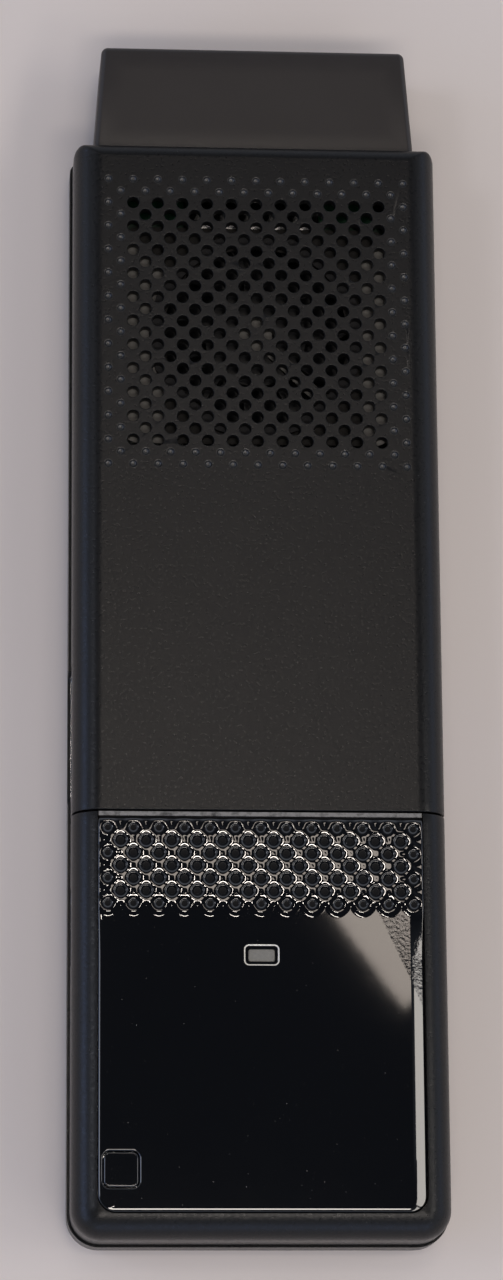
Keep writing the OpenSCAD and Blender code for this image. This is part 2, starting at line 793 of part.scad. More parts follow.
// Board with notches for the plug and for the two wide sockets
module main_board() {
    slot = usb_w / 2 + usb_t + board_gap / 2;
    plug = hdmi_w / 2 + board_gap / 2;
    color("#1d4d35") difference() {
        translate([0, 0, board_z]) linear_extrude(board_t)
            round_span(-board_hw, board_y0, board_hw, board_y1, board_r, board_r);
        translate([-plug, hdmi_back - board_gap / 2, board_z - over])
            cube([2 * plug, body_l, board_t + 2 * over]);
        for (s = [0, 1]) mirror([s, 0, 0])
            translate([usb_x1 - usb_l - board_gap / 2, usb_y - slot, board_z - over])
                cube([body_w, 2 * slot, board_t + 2 * over]);
        for (x = [-screw_x, screw_x], y = [screw_front_y, screw_rear_y])
            translate([x, y, board_z - over]) cylinder(d = screw_d + 2 * board_hole, h = board_t + 2 * over);
    }
}
module board_screws() {
    color("#8d9095") for (x = [-screw_x, screw_x], y = [screw_front_y, screw_rear_y])
        translate([x, y, 0]) difference() {
            union() {
                translate([0, 0, wall + screw_end]) cylinder(d = screw_d, h = board_top - wall - screw_end);
                translate([0, 0, board_top]) cylinder(d = screw_head_d, h = screw_head_h);
            }
            for (a = [0, 90]) rotate(a)
                block(0, 0, board_top + screw_head_h - slot_depth, [slot_l, slot_w, over]);
        }
}

// Processor and the way of its heat to the fan
module processor() {
    color("#3a3c40") {
        block(0, chip_y, board_top, [chip_s, chip_s, chip_h - die_h]);
        block(0, chip_y, pad_z - die_h, [die_s[0], die_s[1], die_h]);
    }
}
module thermal_pad() {
    color("#8fa3b5") block(0, chip_y, pad_z, [die_s[0] + 2 * pad_rim, die_s[1] + 2 * pad_rim, pad_t]);
}
module heat_spreader() {
    color("#b4b6b9") {
        translate([0, 0, spreader_z]) linear_extrude(spreader_t)
            round_span(-spreader_w / 2, spreader_y0, spreader_w / 2, spreader_y1, spreader_r, spreader_r);
        for (x = [-1, 1]) translate([x * (spreader_w / 2 - post_d), post_y, board_top])
            cylinder(d = post_d, h = spreader_z - board_top);
    }
}
module cooling_fins() {
    x0 = fan_w / 2 + fin_gap;
    y0 = vent_y - (fin_n - 1) / 2 * fin_pitch;
    color("#b4b6b9") {
        translate([x0, y0 - fin_t / 2, fan_z]) cube([fin_w, (fin_n - 1) * fin_pitch + fin_t, fin_base]);
        for (i = [0:fin_n - 1])
            translate([x0, y0 + i * fin_pitch - fin_t / 2, fan_z]) cube([fin_w, fin_t, fan_cover_z - fan_z]);
    }
}

// Blower: base with a wall on three sides, open towards the fins
module fan_frame() {
    color("#6c6f73") difference() {
        translate([0, fan_y, fan_z]) linear_extrude(fan_cover_z - fan_z) round_rect(fan_w, fan_l, fan_r);
        translate([0, fan_y, fan_z + fan_base_t]) linear_extrude(body_h) {
            circle(d = rotor_d + 2 * fan_wall);
            translate([0, -fan_l / 2 + fan_wall]) square([fan_w, fan_l - 2 * fan_wall]);
        }
    }
}
module fan_stator() {
    z0 = fan_z + fan_base_t;
    tube = shaft_d / 2 + shaft_gap + tube_wall;
    core = hub_d / 2 - hub_wall - rotor_gap;
    h = rotor_z1 - hub_top - rotor_gap - z0;
    color("#a0622d") translate([0, fan_y, z0]) difference() {
        union() {
            cylinder(r = tube, h = h);
            translate([0, 0, tooth_gap]) cylinder(r = core - tooth_l, h = h - 2 * tooth_gap);
            for (i = [0:tooth_n - 1]) rotate(i * 360 / tooth_n) translate([0, -tooth_w / 2, tooth_gap])
                cube([core, tooth_w, h - 2 * tooth_gap]);
        }
        translate([0, 0, -over]) cylinder(r = shaft_d / 2 + shaft_gap, h = h + 2 * over);
    }
}
module blade_outline() {
    r0 = hub_d / 2 - blade_root;
    r1 = rotor_d / 2;
    sweep = (r1 - r0) * 1.25;
    c = [r0 + sweep * 0.25, sweep];
    intersection() {
        difference() {
            translate(c) circle(sweep + blade_t / 2);
            translate(c) circle(sweep - blade_t / 2);
        }
        difference() {
            circle(r1);
            circle(r0);
        }
        translate([r0 * 0.8, -r1]) square([r1, r1 + sweep * 0.9]);
    }
}
module fan_rotor() {
    h = rotor_z1 - rotor_z0;
    color("#24262a") translate([0, fan_y, rotor_z0]) {
        rotate_extrude() {
            translate([hub_d / 2 - hub_wall, 0]) square([hub_wall, h]);
            translate([0, h - hub_top]) square([hub_d / 2, hub_top]);
            translate([0, end_gap - rotor_gap]) square([shaft_d / 2, h + rotor_gap - end_gap]);
        }
        for (i = [0:blade_n - 1]) rotate(i * 360 / blade_n)
            translate([0, 0, blade_inset]) linear_extrude(h - 2 * blade_inset) blade_outline();
    }
}
module fan_cover() {
    color("#7b7e82") translate([0, fan_y, fan_cover_z]) linear_extrude(fan_cover_t) {
        difference() {
            round_rect(fan_w, fan_l, fan_r);
            circle(d = intake_d);
        }
        circle(strut_r);
        rotate(-45) translate([0, -strut_w / 2]) square([intake_d / 2 + strut_root, strut_w]);
    }
}
module fan_gasket() {
    color("#222326") translate([0, fan_y, gasket_z]) linear_extrude(gasket_t) difference() {
        circle(d = intake_d + 2 * gasket_w);
        circle(d = intake_d + 2 * gasket_in);
    }
}

// Other pieces on the board
module memory_chips() {
    color("#2a2c30") for (x = [-memory_x, memory_x]) block(x, memory_y, board_top, memory_s);
}
module storage_chip() {
    color("#2a2c30") block(storage_x, storage_y, board_z - storage_s[2], storage_s);
}
module wireless_module() {
    color("#aeb1b4") block(wireless_x, wireless_y, board_top, wireless_s);
}
module antennas() {
    color("#8a6a3a") for (s = [0, 1]) mirror([s, 0, 0])
        translate([in_hw - antenna_t, antenna_y0, antenna_z])
            cube([antenna_t, antenna_y1 - antenna_y0, antenna_h]);
}
module inductors() {
    color("#4a4d52") for (i = [0:inductor_n - 1])
        block((i - (inductor_n - 1) / 2) * inductor_pitch, inductor_y, board_top, inductor_s);
}
module button_switch() {
    well = plunger_in + button_travel + press_gap;
    color("#9a9da1") translate([-button_x, button_y, board_top]) difference() {
        block(0, 0, 0, [switch_s, switch_s, switch_h]);
        translate([0, 0, switch_h - well]) cylinder(d = plunger_d + 2 * press_gap, h = well + over);
    }
}
module switch_plunger() {
    color("#e6e4dc") translate([-button_x, button_y, board_top + switch_h - plunger_in])
        cylinder(d = plunger_d, h = plunger_in + plunger_h);
}
module status_led() {
    s = [window_w - 2 * led_in[0], window_l - 2 * led_in[1], led_h];
    color("#e8e6dc") block(0, window_y, board_top, s);
}

// Wide sockets: a folded metal box, a tongue and its contacts
module usb_shell() {
    difference() {
        along_x(usb_x1 - usb_l, usb_x1) translate([usb_y, usb_z]) usb_outline(usb_t);
        along_x(usb_x1 - usb_l + usb_t, usb_x1 + over) translate([usb_y, usb_z]) usb_outline(0);
        // Windows under the four spring fingers
        for (y = [-finger_y, finger_y])
            translate([usb_x1 - finger_x - finger_l, usb_y + y - finger_w / 2, 0])
                cube([finger_l, finger_w, body_h]);
    }
}
module usb_tongue() {
    difference() {
        union() {
            translate([usb_x1 - usb_l + usb_t, usb_y - tongue_w / 2, tongue_z])
                cube([usb_l - usb_t - tongue_back, tongue_w, tongue_t]);
            along_x(usb_x1 - usb_l + usb_t, usb_x1 - usb_l + usb_t + tongue_root)
                translate([usb_y, usb_z]) usb_outline(-tongue_fit);
        }
        for (i = [0:usb_n - 1]) usb_contact(i, contact_t + tongue_fit);
    }
}
module usb_contact(i, depth) {
    y = usb_y + (i - (usb_n - 1) / 2) * pad_pitch;
    translate([usb_x1 - tongue_back - pad_l - tongue_fit, y - pad_w / 2, tongue_z])
        cube([pad_l, pad_w, depth]);
}
module usb3_shell() {
    color("#b9bbbe") usb_shell();
}
module usb3_tongue() {
    color("#2a5fb0") usb_tongue();
}
module usb3_contacts() {
    color("#c9a24a") for (i = [0:usb_n - 1]) usb_contact(i, contact_t);
}
module usb2_shell() {
    color("#b9bbbe") mirror([1, 0, 0]) usb_shell();
}
module usb2_tongue() {
    color("#1b1c1f") mirror([1, 0, 0]) usb_tongue();
}
module usb2_contacts() {
    color("#c9a24a") mirror([1, 0, 0]) for (i = [0:usb_n - 1]) usb_contact(i, contact_t);
}

// Small socket that the power lead plugs into
module power_shell() {
    color("#b9bbbe") mirror([1, 0, 0]) difference() {
        along_x(usb_x1 - power_l, usb_x1) translate([power_y, power_z]) power_outline(usb_t);
        along_x(usb_x1 - power_l + usb_t, usb_x1 + over) translate([power_y, power_z]) power_outline(0);
    }
}
module power_tongue() {
    x0 = usb_x1 - power_l + usb_t;
    color("#17181a") mirror([1, 0, 0]) {
        along_x(x0, x0 + power_root) translate([power_y, power_z]) power_outline(-tongue_fit);
        translate([x0, power_y - power_tongue_w / 2, power_z])
            cube([power_l - usb_t - tongue_back, power_tongue_w, power_tongue_t]);
    }
}
module card_socket() {
    x1 = room_hw - board_gap;
    w = card_w + 2 * card_t;
    color("#b9bbbe") difference() {
        translate([x1 - card_l, card_y - w / 2, card_z]) cube([card_l, w, card_h + 2 * card_t]);
        translate([x1 - card_l + card_stop, card_y - card_w / 2, card_z + card_t])
            cube([card_l, card_w, card_h]);
    }
}

bottom_cover();
top_cover();
tail_cover();
gloss_panel();
status_window();
power_button();
hdmi_cap();
hdmi_shell();
hdmi_insulator();
hdmi_contacts();
main_board();
board_screws();
processor();
thermal_pad();
heat_spreader();
cooling_fins();
fan_frame();
fan_stator();
fan_rotor();
fan_cover();
fan_gasket();
memory_chips();
storage_chip();
wireless_module();
antennas();
inductors();
usb3_shell();
usb3_tongue();
usb3_contacts();
usb2_shell();
usb2_tongue();
usb2_contacts();
power_shell();
power_tongue();
card_socket();
button_switch();
switch_plunger();
status_led();
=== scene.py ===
"""Looks of a stick computer that plugs straight into a display's HDMI socket.

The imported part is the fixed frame. Its covers, gloss panel, window, button and cap get finer meshes
here, and every other piece keeps its solid under a procedural finish. X runs across the stick,
Y towards the plug and Z up from the flat underside. Shapes are worked out in millimetres and laid
down in metres.
"""

import logging
import math
from collections.abc import Callable, Iterable, Sequence
from dataclasses import dataclass, field
from enum import Enum
from typing import Any

import bmesh
import bpy
from bmesh.types import BMEdge, BMesh, BMFace, BMVert
from bpy.types import Material, Node, NodeSocket, NodeTree, Object, World
from mathutils import Matrix, Vector


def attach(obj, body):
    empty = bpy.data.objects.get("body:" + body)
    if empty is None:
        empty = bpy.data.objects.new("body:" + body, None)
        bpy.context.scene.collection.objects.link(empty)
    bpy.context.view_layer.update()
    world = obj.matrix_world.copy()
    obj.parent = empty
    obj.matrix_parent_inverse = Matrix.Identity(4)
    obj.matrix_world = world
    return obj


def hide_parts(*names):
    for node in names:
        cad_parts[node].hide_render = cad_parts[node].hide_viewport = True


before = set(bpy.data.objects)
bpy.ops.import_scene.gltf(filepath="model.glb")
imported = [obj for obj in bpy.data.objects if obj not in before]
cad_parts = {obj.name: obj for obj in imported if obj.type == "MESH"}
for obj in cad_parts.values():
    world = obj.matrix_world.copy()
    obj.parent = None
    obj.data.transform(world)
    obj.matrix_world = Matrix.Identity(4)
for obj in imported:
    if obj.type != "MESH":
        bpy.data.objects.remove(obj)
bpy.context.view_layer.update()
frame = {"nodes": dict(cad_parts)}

LOG = logging.getLogger("stick")
POLISH = "polish"  # face attribute that is 1 where a surface is smooth
MM = 0.001  # a millimetre, in metres
NEAR = 1e-3  # lengths in millimetres that differ by less are the same
TINY = 1e-4  # corners of a mesh that lie closer are one, in millimetres
WELD = 0.002  # the same for the copy of a solid
OVER = 0.5  # how far a cut runs past the surface that it opens, in millimetres
ALONG = 0.999  # least share of an edge's direction that lies along its axis
FLAT = math.radians(0.5)  # faces that turn by less lie in one plane
SHARP = 0.6  # an edge that turns by more is sharp enough to be rounded, in radians
CREASE = math.radians(38.0)  # an edge that turns by more stays crisp
NOISE_ROUGHNESS = 0.55  # how strong the finer part of every noise is

Pair = tuple[float, float]
Triple = tuple[float, float, float]


class Body(Enum):
    """The part's bodies that a new piece rides on."""

    STICK = "stick"
    CAP = "cap"
    BUTTON = "button"


class Axis(Enum):
    """Axis that an edge runs along, or that a plane lies across."""

    Y = 1
    Z = 2


class Way(Enum):
    """What a shape does to the solid that it meets."""

    TAKE = "DIFFERENCE"
    ADD = "UNION"


@dataclass(frozen=True)
class Piece:
    """How a new mesh joins the frame.

    Attributes:
        name: name of the object.
        nodes: CAD nodes that it stands for.
        body: body that it moves with.
        slot: material slot of the record; not used.
    """

    name: str
    nodes: tuple[str, ...]
    body: Body
    slot: str


# ---------------------------------------------------------------------------------------------
# Nodes
# ---------------------------------------------------------------------------------------------


def linear(colour: str) -> tuple[float, float, float, float]:
    """Turn an sRGB hex colour into the linear one that a shader takes.

    Args:
        colour: six hex digits after a hash.

    Returns:
        Red, green and blue as linear light, and full alpha.
    """
    parts = [int(colour[i : i + 2], 16) / 255 for i in (1, 3, 5)]
    r, g, b = (c / 12.92 if c <= 0.04045 else ((c + 0.055) / 1.055) ** 2.4 for c in parts)
    return r, g, b, 1.0


def add_node(tree: NodeTree, kind: str, links: dict[Any, Any] | None = None, **settings: Any) -> Node:
    """Add one node with its settings and links.

    Args:
        tree: node tree that gets the node.
        kind: Blender's name for the kind of node.
        links: a value, or another node's output, for each input that is named or numbered.
        settings: the node's own properties.

    Returns:
        The new node.
    """
    node = tree.nodes.new(kind)
    for name, value in settings.items():
        setattr(node, name, value)
    for key, value in (links or {}).items():
        if isinstance(value, NodeSocket):
            tree.links.new(value, node.inputs[key])
        else:
            node.inputs[key].default_value = value
    return node


def ramp(
    tree: NodeTree, value: NodeSocket, source: Pair = (0.0, 1.0), target: Pair = (0.0, 1.0), soft: bool = False
) -> NodeSocket:
    """Map one range of values to another.

    Args:
        tree: node tree that gets the node.
        value: output with the values.
        source: range that is mapped.
        target: range that it is mapped to.
        soft: whether the change eases in and out.

    Returns:
        The output with the mapped values.
    """
    names = ("From Min", "From Max", "To Min", "To Max")
    links = {"Value": value, **dict(zip(names, (*source, *target)))}
    curve = "SMOOTHSTEP" if soft else "LINEAR"
    return add_node(tree, "ShaderNodeMapRange", links, interpolation_type=curve).outputs[0]


def step(tree: NodeTree, value: NodeSocket, low: float, high: float) -> NodeSocket:
    """Rise softly from 0 to 1 between two lengths in millimetres, for a length in metres."""
    return ramp(tree, value, (low * MM, high * MM), soft=True)


def combine(tree: NodeTree, operation: str, first: NodeSocket, second: NodeSocket) -> NodeSocket:
    """Work out one number from two."""
    return add_node(tree, "ShaderNodeMath", {0: first, 1: second}, operation=operation).outputs[0]


def blend(tree: NodeTree, share: NodeSocket, base: NodeSocket, number: float) -> NodeSocket:
    """Blend a number into another by a share."""
    return add_node(tree, "ShaderNodeMix", {"Factor": share, 2: base, 3: number}).outputs[0]


def lay_over(tree: NodeTree, share: NodeSocket, base: Any, colour: str) -> NodeSocket:
    """Lay a colour over another by a share."""
    links = {"Factor": share, 6: base, 7: linear(colour)}
    return add_node(tree, "ShaderNodeMix", links, data_type="RGBA").outputs[2]


def feed(shader: Node, name: str) -> NodeSocket:
    """Give the output that feeds an input of a shader."""
    return shader.inputs[name].links[0].from_socket


def place_on(tree: NodeTree) -> NodeSocket:
    """Give the place on the piece, in metres."""
    return add_node(tree, "ShaderNodeTexCoord").outputs["Object"]


def noise(tree: NodeTree, place: NodeSocket, size: float, detail: float = 2.0) -> NodeSocket:
    """Give an even noise whose lumps have a real size.

    Args:
        tree: node tree of the material.
        place: coordinates in metres.
        size: size of a lump in millimetres.
        detail: how many finer noises lie on the first.

    Returns:
        The output with the noise, from 0 to 1.
    """
    links = {"Vector": place, "Scale": 1 / (size * MM), "Detail": detail, "Roughness": NOISE_ROUGHNESS}
    return add_node(tree, "ShaderNodeTexNoise", links).outputs["Fac"]


# ---------------------------------------------------------------------------------------------
# Finishes
# ---------------------------------------------------------------------------------------------


@dataclass(frozen=True)
class Finish:
    """A surface with a fine grain and a slow change of colour over it. Lengths are in millimetres.

    Attributes:
        name: common name of the material and how its surface was made.
        colour: its colour, as sRGB hex.
        shade: the colour that it drifts to.
        rough: least and greatest roughness.
        grain: size of the grain.
        relief: height of the grain.
        cloud: size of the slow drift.
        metallic: 1 for bare metal.
        ior: index of refraction, which a metal leaves alone.
        shine: specular level, 0.5 for a plain smooth surface.
        coat: weight of a hard clear coat.
        stretch: how much longer the grain is along X, Y and Z.
        grain_span: part of the grain's noise over which the roughness changes.
    """

    name: str
    colour: str
    shade: str
    rough: Pair
    grain: float = 0.3
    relief: float = 0.004
    cloud: float = 5.0
    metallic: float = 0.0
    ior: float = 1.5
    shine: float = 0.5
    coat: float = 0.0
    stretch: Triple = (1.0, 1.0, 1.0)
    grain_span: Pair = (0.3, 0.7)

    def make(self) -> Material:
        """Build the material.

        Returns:
            A new material with this finish.
        """
        material = bpy.data.materials.new(self.name)
        material.use_nodes = True
        shader = material.node_tree.nodes["Principled BSDF"]
        shader.inputs["Metallic"].default_value = self.metallic
        shader.inputs["IOR"].default_value = self.ior
        shader.inputs["Specular IOR Level"].default_value = self.shine
        shader.inputs["Coat Weight"].default_value = self.coat
        self.dress(material.node_tree, shader)
        return material

    def dress(self, tree: NodeTree, shader: Node) -> None:
        """Set the colour, the roughness and the relief.

        Args:
            tree: node tree of the material.
            shader: its main shader.
        """
        along = {"Vector": place_on(tree), "Scale": [1 / s for s in self.stretch]}
        place = add_node(tree, "ShaderNodeMapping", along).outputs[0]
        grain = noise(tree, place, self.grain)
        drift = noise(tree, place, self.cloud)
        lift = {"Height": grain, "Distance": self.relief * MM, "Strength": 1.0}
        for name, output in (
            ("Base Color", lay_over(tree, drift, linear(self.colour), self.shade)),
            ("Roughness", ramp(tree, grain, self.grain_span, self.rough)),
            ("Normal", add_node(tree, "ShaderNodeBump", lift).outputs[0]),
        ):
            tree.links.new(output, shader.inputs[name])


@dataclass(frozen=True)
class ScuffedFinish(Finish):
    """A grained surface with fine dust and short pale scuffs.

    Attributes:
        scuff: colour of the scuffs and the dust, as sRGB hex.
        scuff_size: length of a scuff.
        scuff_from: how much of the noise stays clear of scuffs, from 0 to 1.
        scuff_share: how much a scuff covers.
        scuff_slant: turn of the scuffs about Z in radians.
        scuff_squeeze: how much their noise is shortened along Y.
        dust_size: size of a speck.
        dust_from: how much of the noise stays clear of dust.
        dust_share: how much a speck covers.
        mark_fade: part of the noise over which a mark fades in.
        mark_rough: roughness of the marks.
    """

    scuff: str = "#5c5c5e"
    scuff_size: float = 1.6
    scuff_from: float = 0.76
    scuff_share: float = 0.25
    scuff_slant: float = 0.6
    scuff_squeeze: float = 0.18
    dust_size: float = 0.2
    dust_from: float = 0.83
    dust_share: float = 0.4
    mark_fade: float = 0.08
    mark_rough: float = 0.7

    def dress(self, tree: NodeTree, shader: Node) -> None:
        """Lay scuffs and dust over the plain finish.

        Args:
            tree: node tree of the material.
            shader: its main shader.
        """
        super().dress(tree, shader)
        place = place_on(tree)
        turn, squeeze = (0.0, 0.0, self.scuff_slant), (1.0, self.scuff_squeeze, 1.0)
        slanted = add_node(tree, "ShaderNodeMapping", {"Vector": place, "Rotation": turn, "Scale": squeeze})
        marks = noise(tree, slanted.outputs[0], self.scuff_size, detail=4.0)
        specks = noise(tree, place, self.dust_size, detail=0.0)
        base, rough = feed(shader, "Base Color"), feed(shader, "Roughness")
        for height, clear, share in (
            (marks, self.scuff_from, self.scuff_share),
            (specks, self.dust_from, self.dust_share),
        ):
            mask = ramp(tree, height, (clear, clear + self.mark_fade), (0.0, share))
            base = lay_over(tree, mask, base, self.scuff)
            rough = blend(tree, mask, rough, self.mark_rough)
        tree.links.new(base, shader.inputs["Base Color"])
        tree.links.new(rough, shader.inputs["Roughness"])


@dataclass(frozen=True)
class HandledFinish(ScuffedFinish):
    """A grained surface that is smooth where its mesh says so.

    Attributes:
        smooth: roughness of the smooth places.
        flat: share of the grain's height that is left there.
        gleam: specular level there.
    """

    smooth: float = 0.34
    flat: float = 0.15
    gleam: float = 1.0

    def dress(self, tree: NodeTree, shader: Node) -> None:
        """Smooth the marked places.

        Args:
            tree: node tree of the material.
            shader: its main shader.
        """
        super().dress(tree, shader)
        where = add_node(tree, "ShaderNodeAttribute", attribute_name=POLISH).outputs["Fac"]
        eased = blend(tree, where, feed(shader, "Roughness"), self.smooth)
        tree.links.new(eased, shader.inputs["Roughness"])
        strength = feed(shader, "Normal").node.inputs["Strength"]
        shine = shader.inputs["Specular IOR Level"]
        for socket, plain, marked in ((strength, 1.0, self.flat), (shine, self.shine, self.gleam)):
            tree.links.new(ramp(tree, where, target=(plain, marked)), socket)


@dataclass(frozen=True)
class DarkenedPlateFinish(Finish):
    """A flat plate that is darker over a band down its middle and a wedge at its +Y end, but not round its hub.

    Attributes:
        dark_tone: the darker colour, as sRGB hex.
        dark_x: X of the darker band's left and right edge.
        dark_lead: Y where the darker wedge's two slanted edges would meet.
        dark_fade: half of the width over which the darker parts' edges fade.
        hub: middle of the hub.
        hub_reach: radius round it that keeps the plate's own colour.
    """

    dark_tone: str = "#1f1d1b"
    dark_x: Pair = (-9.5, 10.8)
    dark_lead: float = 33.2
    dark_fade: float = 0.1
    hub: Triple = (0.0, 36.2, 10.2)
    hub_reach: float = 9.0

    def dress(self, tree: NodeTree, shader: Node) -> None:
        """Darken the band and the wedge over the plain finish.

        Args:
            tree: node tree of the material.
            shader: its main shader.
        """
        super().dress(tree, shader)
        place = place_on(tree)
        x, y, _ = add_node(tree, "ShaderNodeSeparateXYZ", {0: place}).outputs
        aside = add_node(tree, "ShaderNodeMath", {0: x}, operation="ABSOLUTE").outputs[0]
        ahead = combine(tree, "SUBTRACT", y, aside)
        away = {0: place, 1: [c * MM for c in self.hub]}
        far = add_node(tree, "ShaderNodeVectorMath", away, operation="DISTANCE").outputs["Value"]
        (left, right), fade = self.dark_x, self.dark_fade
        mask = step(tree, x, left - fade, left + fade)
        for operation, value, low, high in (
            ("MULTIPLY", x, right + fade, right - fade),
            ("MAXIMUM", ahead, self.dark_lead - fade, self.dark_lead + fade),
            ("MULTIPLY", far, self.hub_reach - fade, self.hub_reach + fade),
        ):
            mask = combine(tree, operation, mask, step(tree, value, low, high))
        # darker band and wedge over the plate, left lighter at its two sides and round the hub
        darkened = lay_over(tree, mask, feed(shader, "Base Color"), self.dark_tone)
        tree.links.new(darkened, shader.inputs["Base Color"])


@dataclass(frozen=True)
class PanelFinish(ScuffedFinish):
    """A polished surface with dull floors in its dimples, painted highlights along the seam's edge and round
    the window, and a rubbed patch.

    Attributes:
        dull_below: height under which the floors of the dimples start.
        dull_from: Y from which the dimples lie.
        dull_fade: how far the floors fade out along Y and Z.
        dull_rough: roughness of the floors.
        dull_shine: specular level of the floors.
        rub_ends: X and Y of the two ends of the line where the rubbed patch begins.
        rub_relief: height of its creases.
        rub_size: size of a crease.
        rub_fade: how far it fades in past that line, and out towards the dimples.
        seam_highlight: colour of the painted highlight along the edge at the seam, as sRGB hex.
        seam_highlight_from: Y from which that edge lies.
        seam_highlight_size: size of the highlight's blotches.
        seam_highlight_span: part of the noise over which a blotch fades in.
        seam_highlight_least: how strong the highlight is between the blotches.
        seam_highlight_fade: half of the width over which it fades in.
        window_highlight: colour of the painted highlight round the window's rim, as sRGB hex.
        window_highlight_at: middle of the window.
        window_highlight_half: half of the painted highlight's width and length.
        window_highlight_corner: radius of its corners.
        window_highlight_wide: width of its band.
        window_highlight_fade: half of the width over which it fades in.
    """

    dull_below: float = 11.92
    dull_from: float = -24.1
    dull_fade: Pair = (0.1, 0.03)
    dull_rough: float = 0.6
    dull_shine: float = 0.2
    rub_ends: tuple[Pair, Pair] = ((11.6, -24.4), (15.9, -33.5))
    rub_relief: float = 0.01
    rub_size: float = 0.35
    rub_fade: Pair = (0.35, 0.4)
    seam_highlight: str = "#8a8783"
    seam_highlight_from: float = -14.42
    seam_highlight_size: float = 0.7
    seam_highlight_span: Pair = (0.3, 0.55)
    seam_highlight_least: float = 0.25
    seam_highlight_fade: float = 0.02
    window_highlight: str = "#e6e0d2"
    window_highlight_at: Pair = (0.0, -28.4)
    window_highlight_half: Pair = (1.69, 0.99)
    window_highlight_corner: float = 0.45
    window_highlight_wide: float = 0.13
    window_highlight_fade: float = 0.01

    def floors(self, tree: NodeTree, y: NodeSocket, z: NodeSocket) -> NodeSocket:
        """Give the floors of the dimples.

        Args:
            tree: node tree of the material.
            y: place along the panel in metres.
            z: height in metres.

        Returns:
            The output that is 1 on the floors and 0 off them.
        """
        fade_y, fade_z = self.dull_fade
        low = step(tree, z, self.dull_below + fade_z, self.dull_below)
        return combine(tree, "MULTIPLY", low, step(tree, y, self.dull_from, self.dull_from + fade_y))

    def paint_seam_highlight(self, tree: NodeTree, place: NodeSocket, y: NodeSocket) -> NodeSocket:
        """Give the painted highlight along the edge at the seam, in blotches.

        Args:
            tree: node tree of the material.
            place: coordinates in metres.
            y: place along the panel in metres.

        Returns:
            The output with the share of the edge's colour.
        """
        speckle = noise(tree, place, self.seam_highlight_size, detail=4.0)
        spots = ramp(tree, speckle, self.seam_highlight_span, (self.seam_highlight_least, 1.0))
        edge = step(tree, y, self.seam_highlight_from - self.seam_highlight_fade, self.seam_highlight_from + self.seam_highlight_fade)
        return combine(tree, "MULTIPLY", edge, spots)

    def paint_window_highlight(self, tree: NodeTree, place: NodeSocket) -> NodeSocket:
        """Give the painted highlight round the window's rim.

        Args:
            tree: node tree of the material.
            place: coordinates in metres.

        Returns:
            The output that is 1 on the line and 0 off it.
        """
        straight = [(half - self.window_highlight_corner) * MM for half in self.window_highlight_half]
        none = (0.0, 0.0, 0.0)
        for operation, other in (
            ("SUBTRACT", [c * MM for c in (*self.window_highlight_at, 0.0)]),
            ("ABSOLUTE", none),
            ("SUBTRACT", (*straight, 1.0)),  # a whole metre, so that Z drops out
            ("MAXIMUM", none),
        ):
            place = add_node(tree, "ShaderNodeVectorMath", {0: place, 1: other}, operation=operation).outputs[0]
        far = add_node(tree, "ShaderNodeVectorMath", {0: place}, operation="LENGTH").outputs["Value"]
        half, fade = self.window_highlight_wide / 2, self.window_highlight_fade
        inner, outer = self.window_highlight_corner - half, self.window_highlight_corner + half
        rise = step(tree, far, inner - fade, inner + fade)
        return combine(tree, "MULTIPLY", rise, step(tree, far, outer + fade, outer - fade))

    def rubbed(self, tree: NodeTree, place: NodeSocket, y: NodeSocket) -> NodeSocket:
        """Give the rubbed patch.

        Args:
            tree: node tree of the material.
            place: coordinates in metres.
            y: place along the panel in metres.

        Returns:
            The output that is 1 on the patch and 0 off it.
        """
        (x0, y0), (x1, y1) = self.rub_ends
        across = Vector((y0 - y1, x1 - x0, 0.0)).normalized()
        past = add_node(tree, "ShaderNodeVectorMath", {0: place, 1: across}, operation="DOT_PRODUCT")
        edge = across.dot(Vector((x0, y0, 0.0)))
        patch = step(tree, past.outputs["Value"], edge, edge + self.rub_fade[0])
        below = step(tree, y, self.dull_from + self.rub_fade[1], self.dull_from)
        return combine(tree, "MULTIPLY", patch, below)

    def dress(self, tree: NodeTree, shader: Node) -> None:
        """Dull the floors of the dimples, paint highlights on the seam's edge and round the window, and crease
        the rubbed patch.

        Args:
            tree: node tree of the material.
            shader: its main shader.
        """
        super().dress(tree, shader)
        place = place_on(tree)
        _, y, z = add_node(tree, "ShaderNodeSeparateXYZ", {0: place}).outputs
        floors = self.floors(tree, y, z)
        dulled = blend(tree, floors, feed(shader, "Roughness"), self.dull_rough)
        tree.links.new(dulled, shader.inputs["Roughness"])
        for name, plain, dull in (
            ("Coat Weight", self.coat, 0.0),
            ("Specular IOR Level", self.shine, self.dull_shine),
        ):
            tree.links.new(ramp(tree, floors, target=(plain, dull)), shader.inputs[name])
        # pale blotched strip along the seam: a painted highlight on the edge there
        base = lay_over(tree, self.paint_seam_highlight(tree, place, y), feed(shader, "Base Color"), self.seam_highlight)
        # pale band round the window: a painted highlight on the rim of its sunk frame
        base = lay_over(tree, self.paint_window_highlight(tree, place), base, self.window_highlight)
        tree.links.new(base, shader.inputs["Base Color"])
        lift = {
            "Height": noise(tree, place, self.rub_size, detail=3.0),
            "Distance": self.rub_relief * MM,
            "Strength": self.rubbed(tree, place, y),
            "Normal": feed(shader, "Normal"),
        }
        bent = add_node(tree, "ShaderNodeBump", lift).outputs[0]
        for name in ("Normal", "Coat Normal"):
            tree.links.new(bent, shader.inputs[name])


# Spark-eroded mould, ABS: an even fine grain that keeps the black soft and takes a cool sheen on
# the rolled edges. The real grain of about 0.08 mm is drawn at 0.3 mm, so that it shows.
CASE = HandledFinish(
    "abs_spark_grained", "#101011", "#141414", (0.26, 0.38), grain=0.3, relief=0.019, cloud=9.0, shine=0.28
)
# The same ABS from a finer mould: satin, a little warmer, with wide soft changes of shine
CAP = ScuffedFinish(
    "abs_satin_moulded", "#2c2826", "#312d2b", (0.34, 0.44), grain=0.3, relief=0.005, cloud=7.0, shine=0.4
)
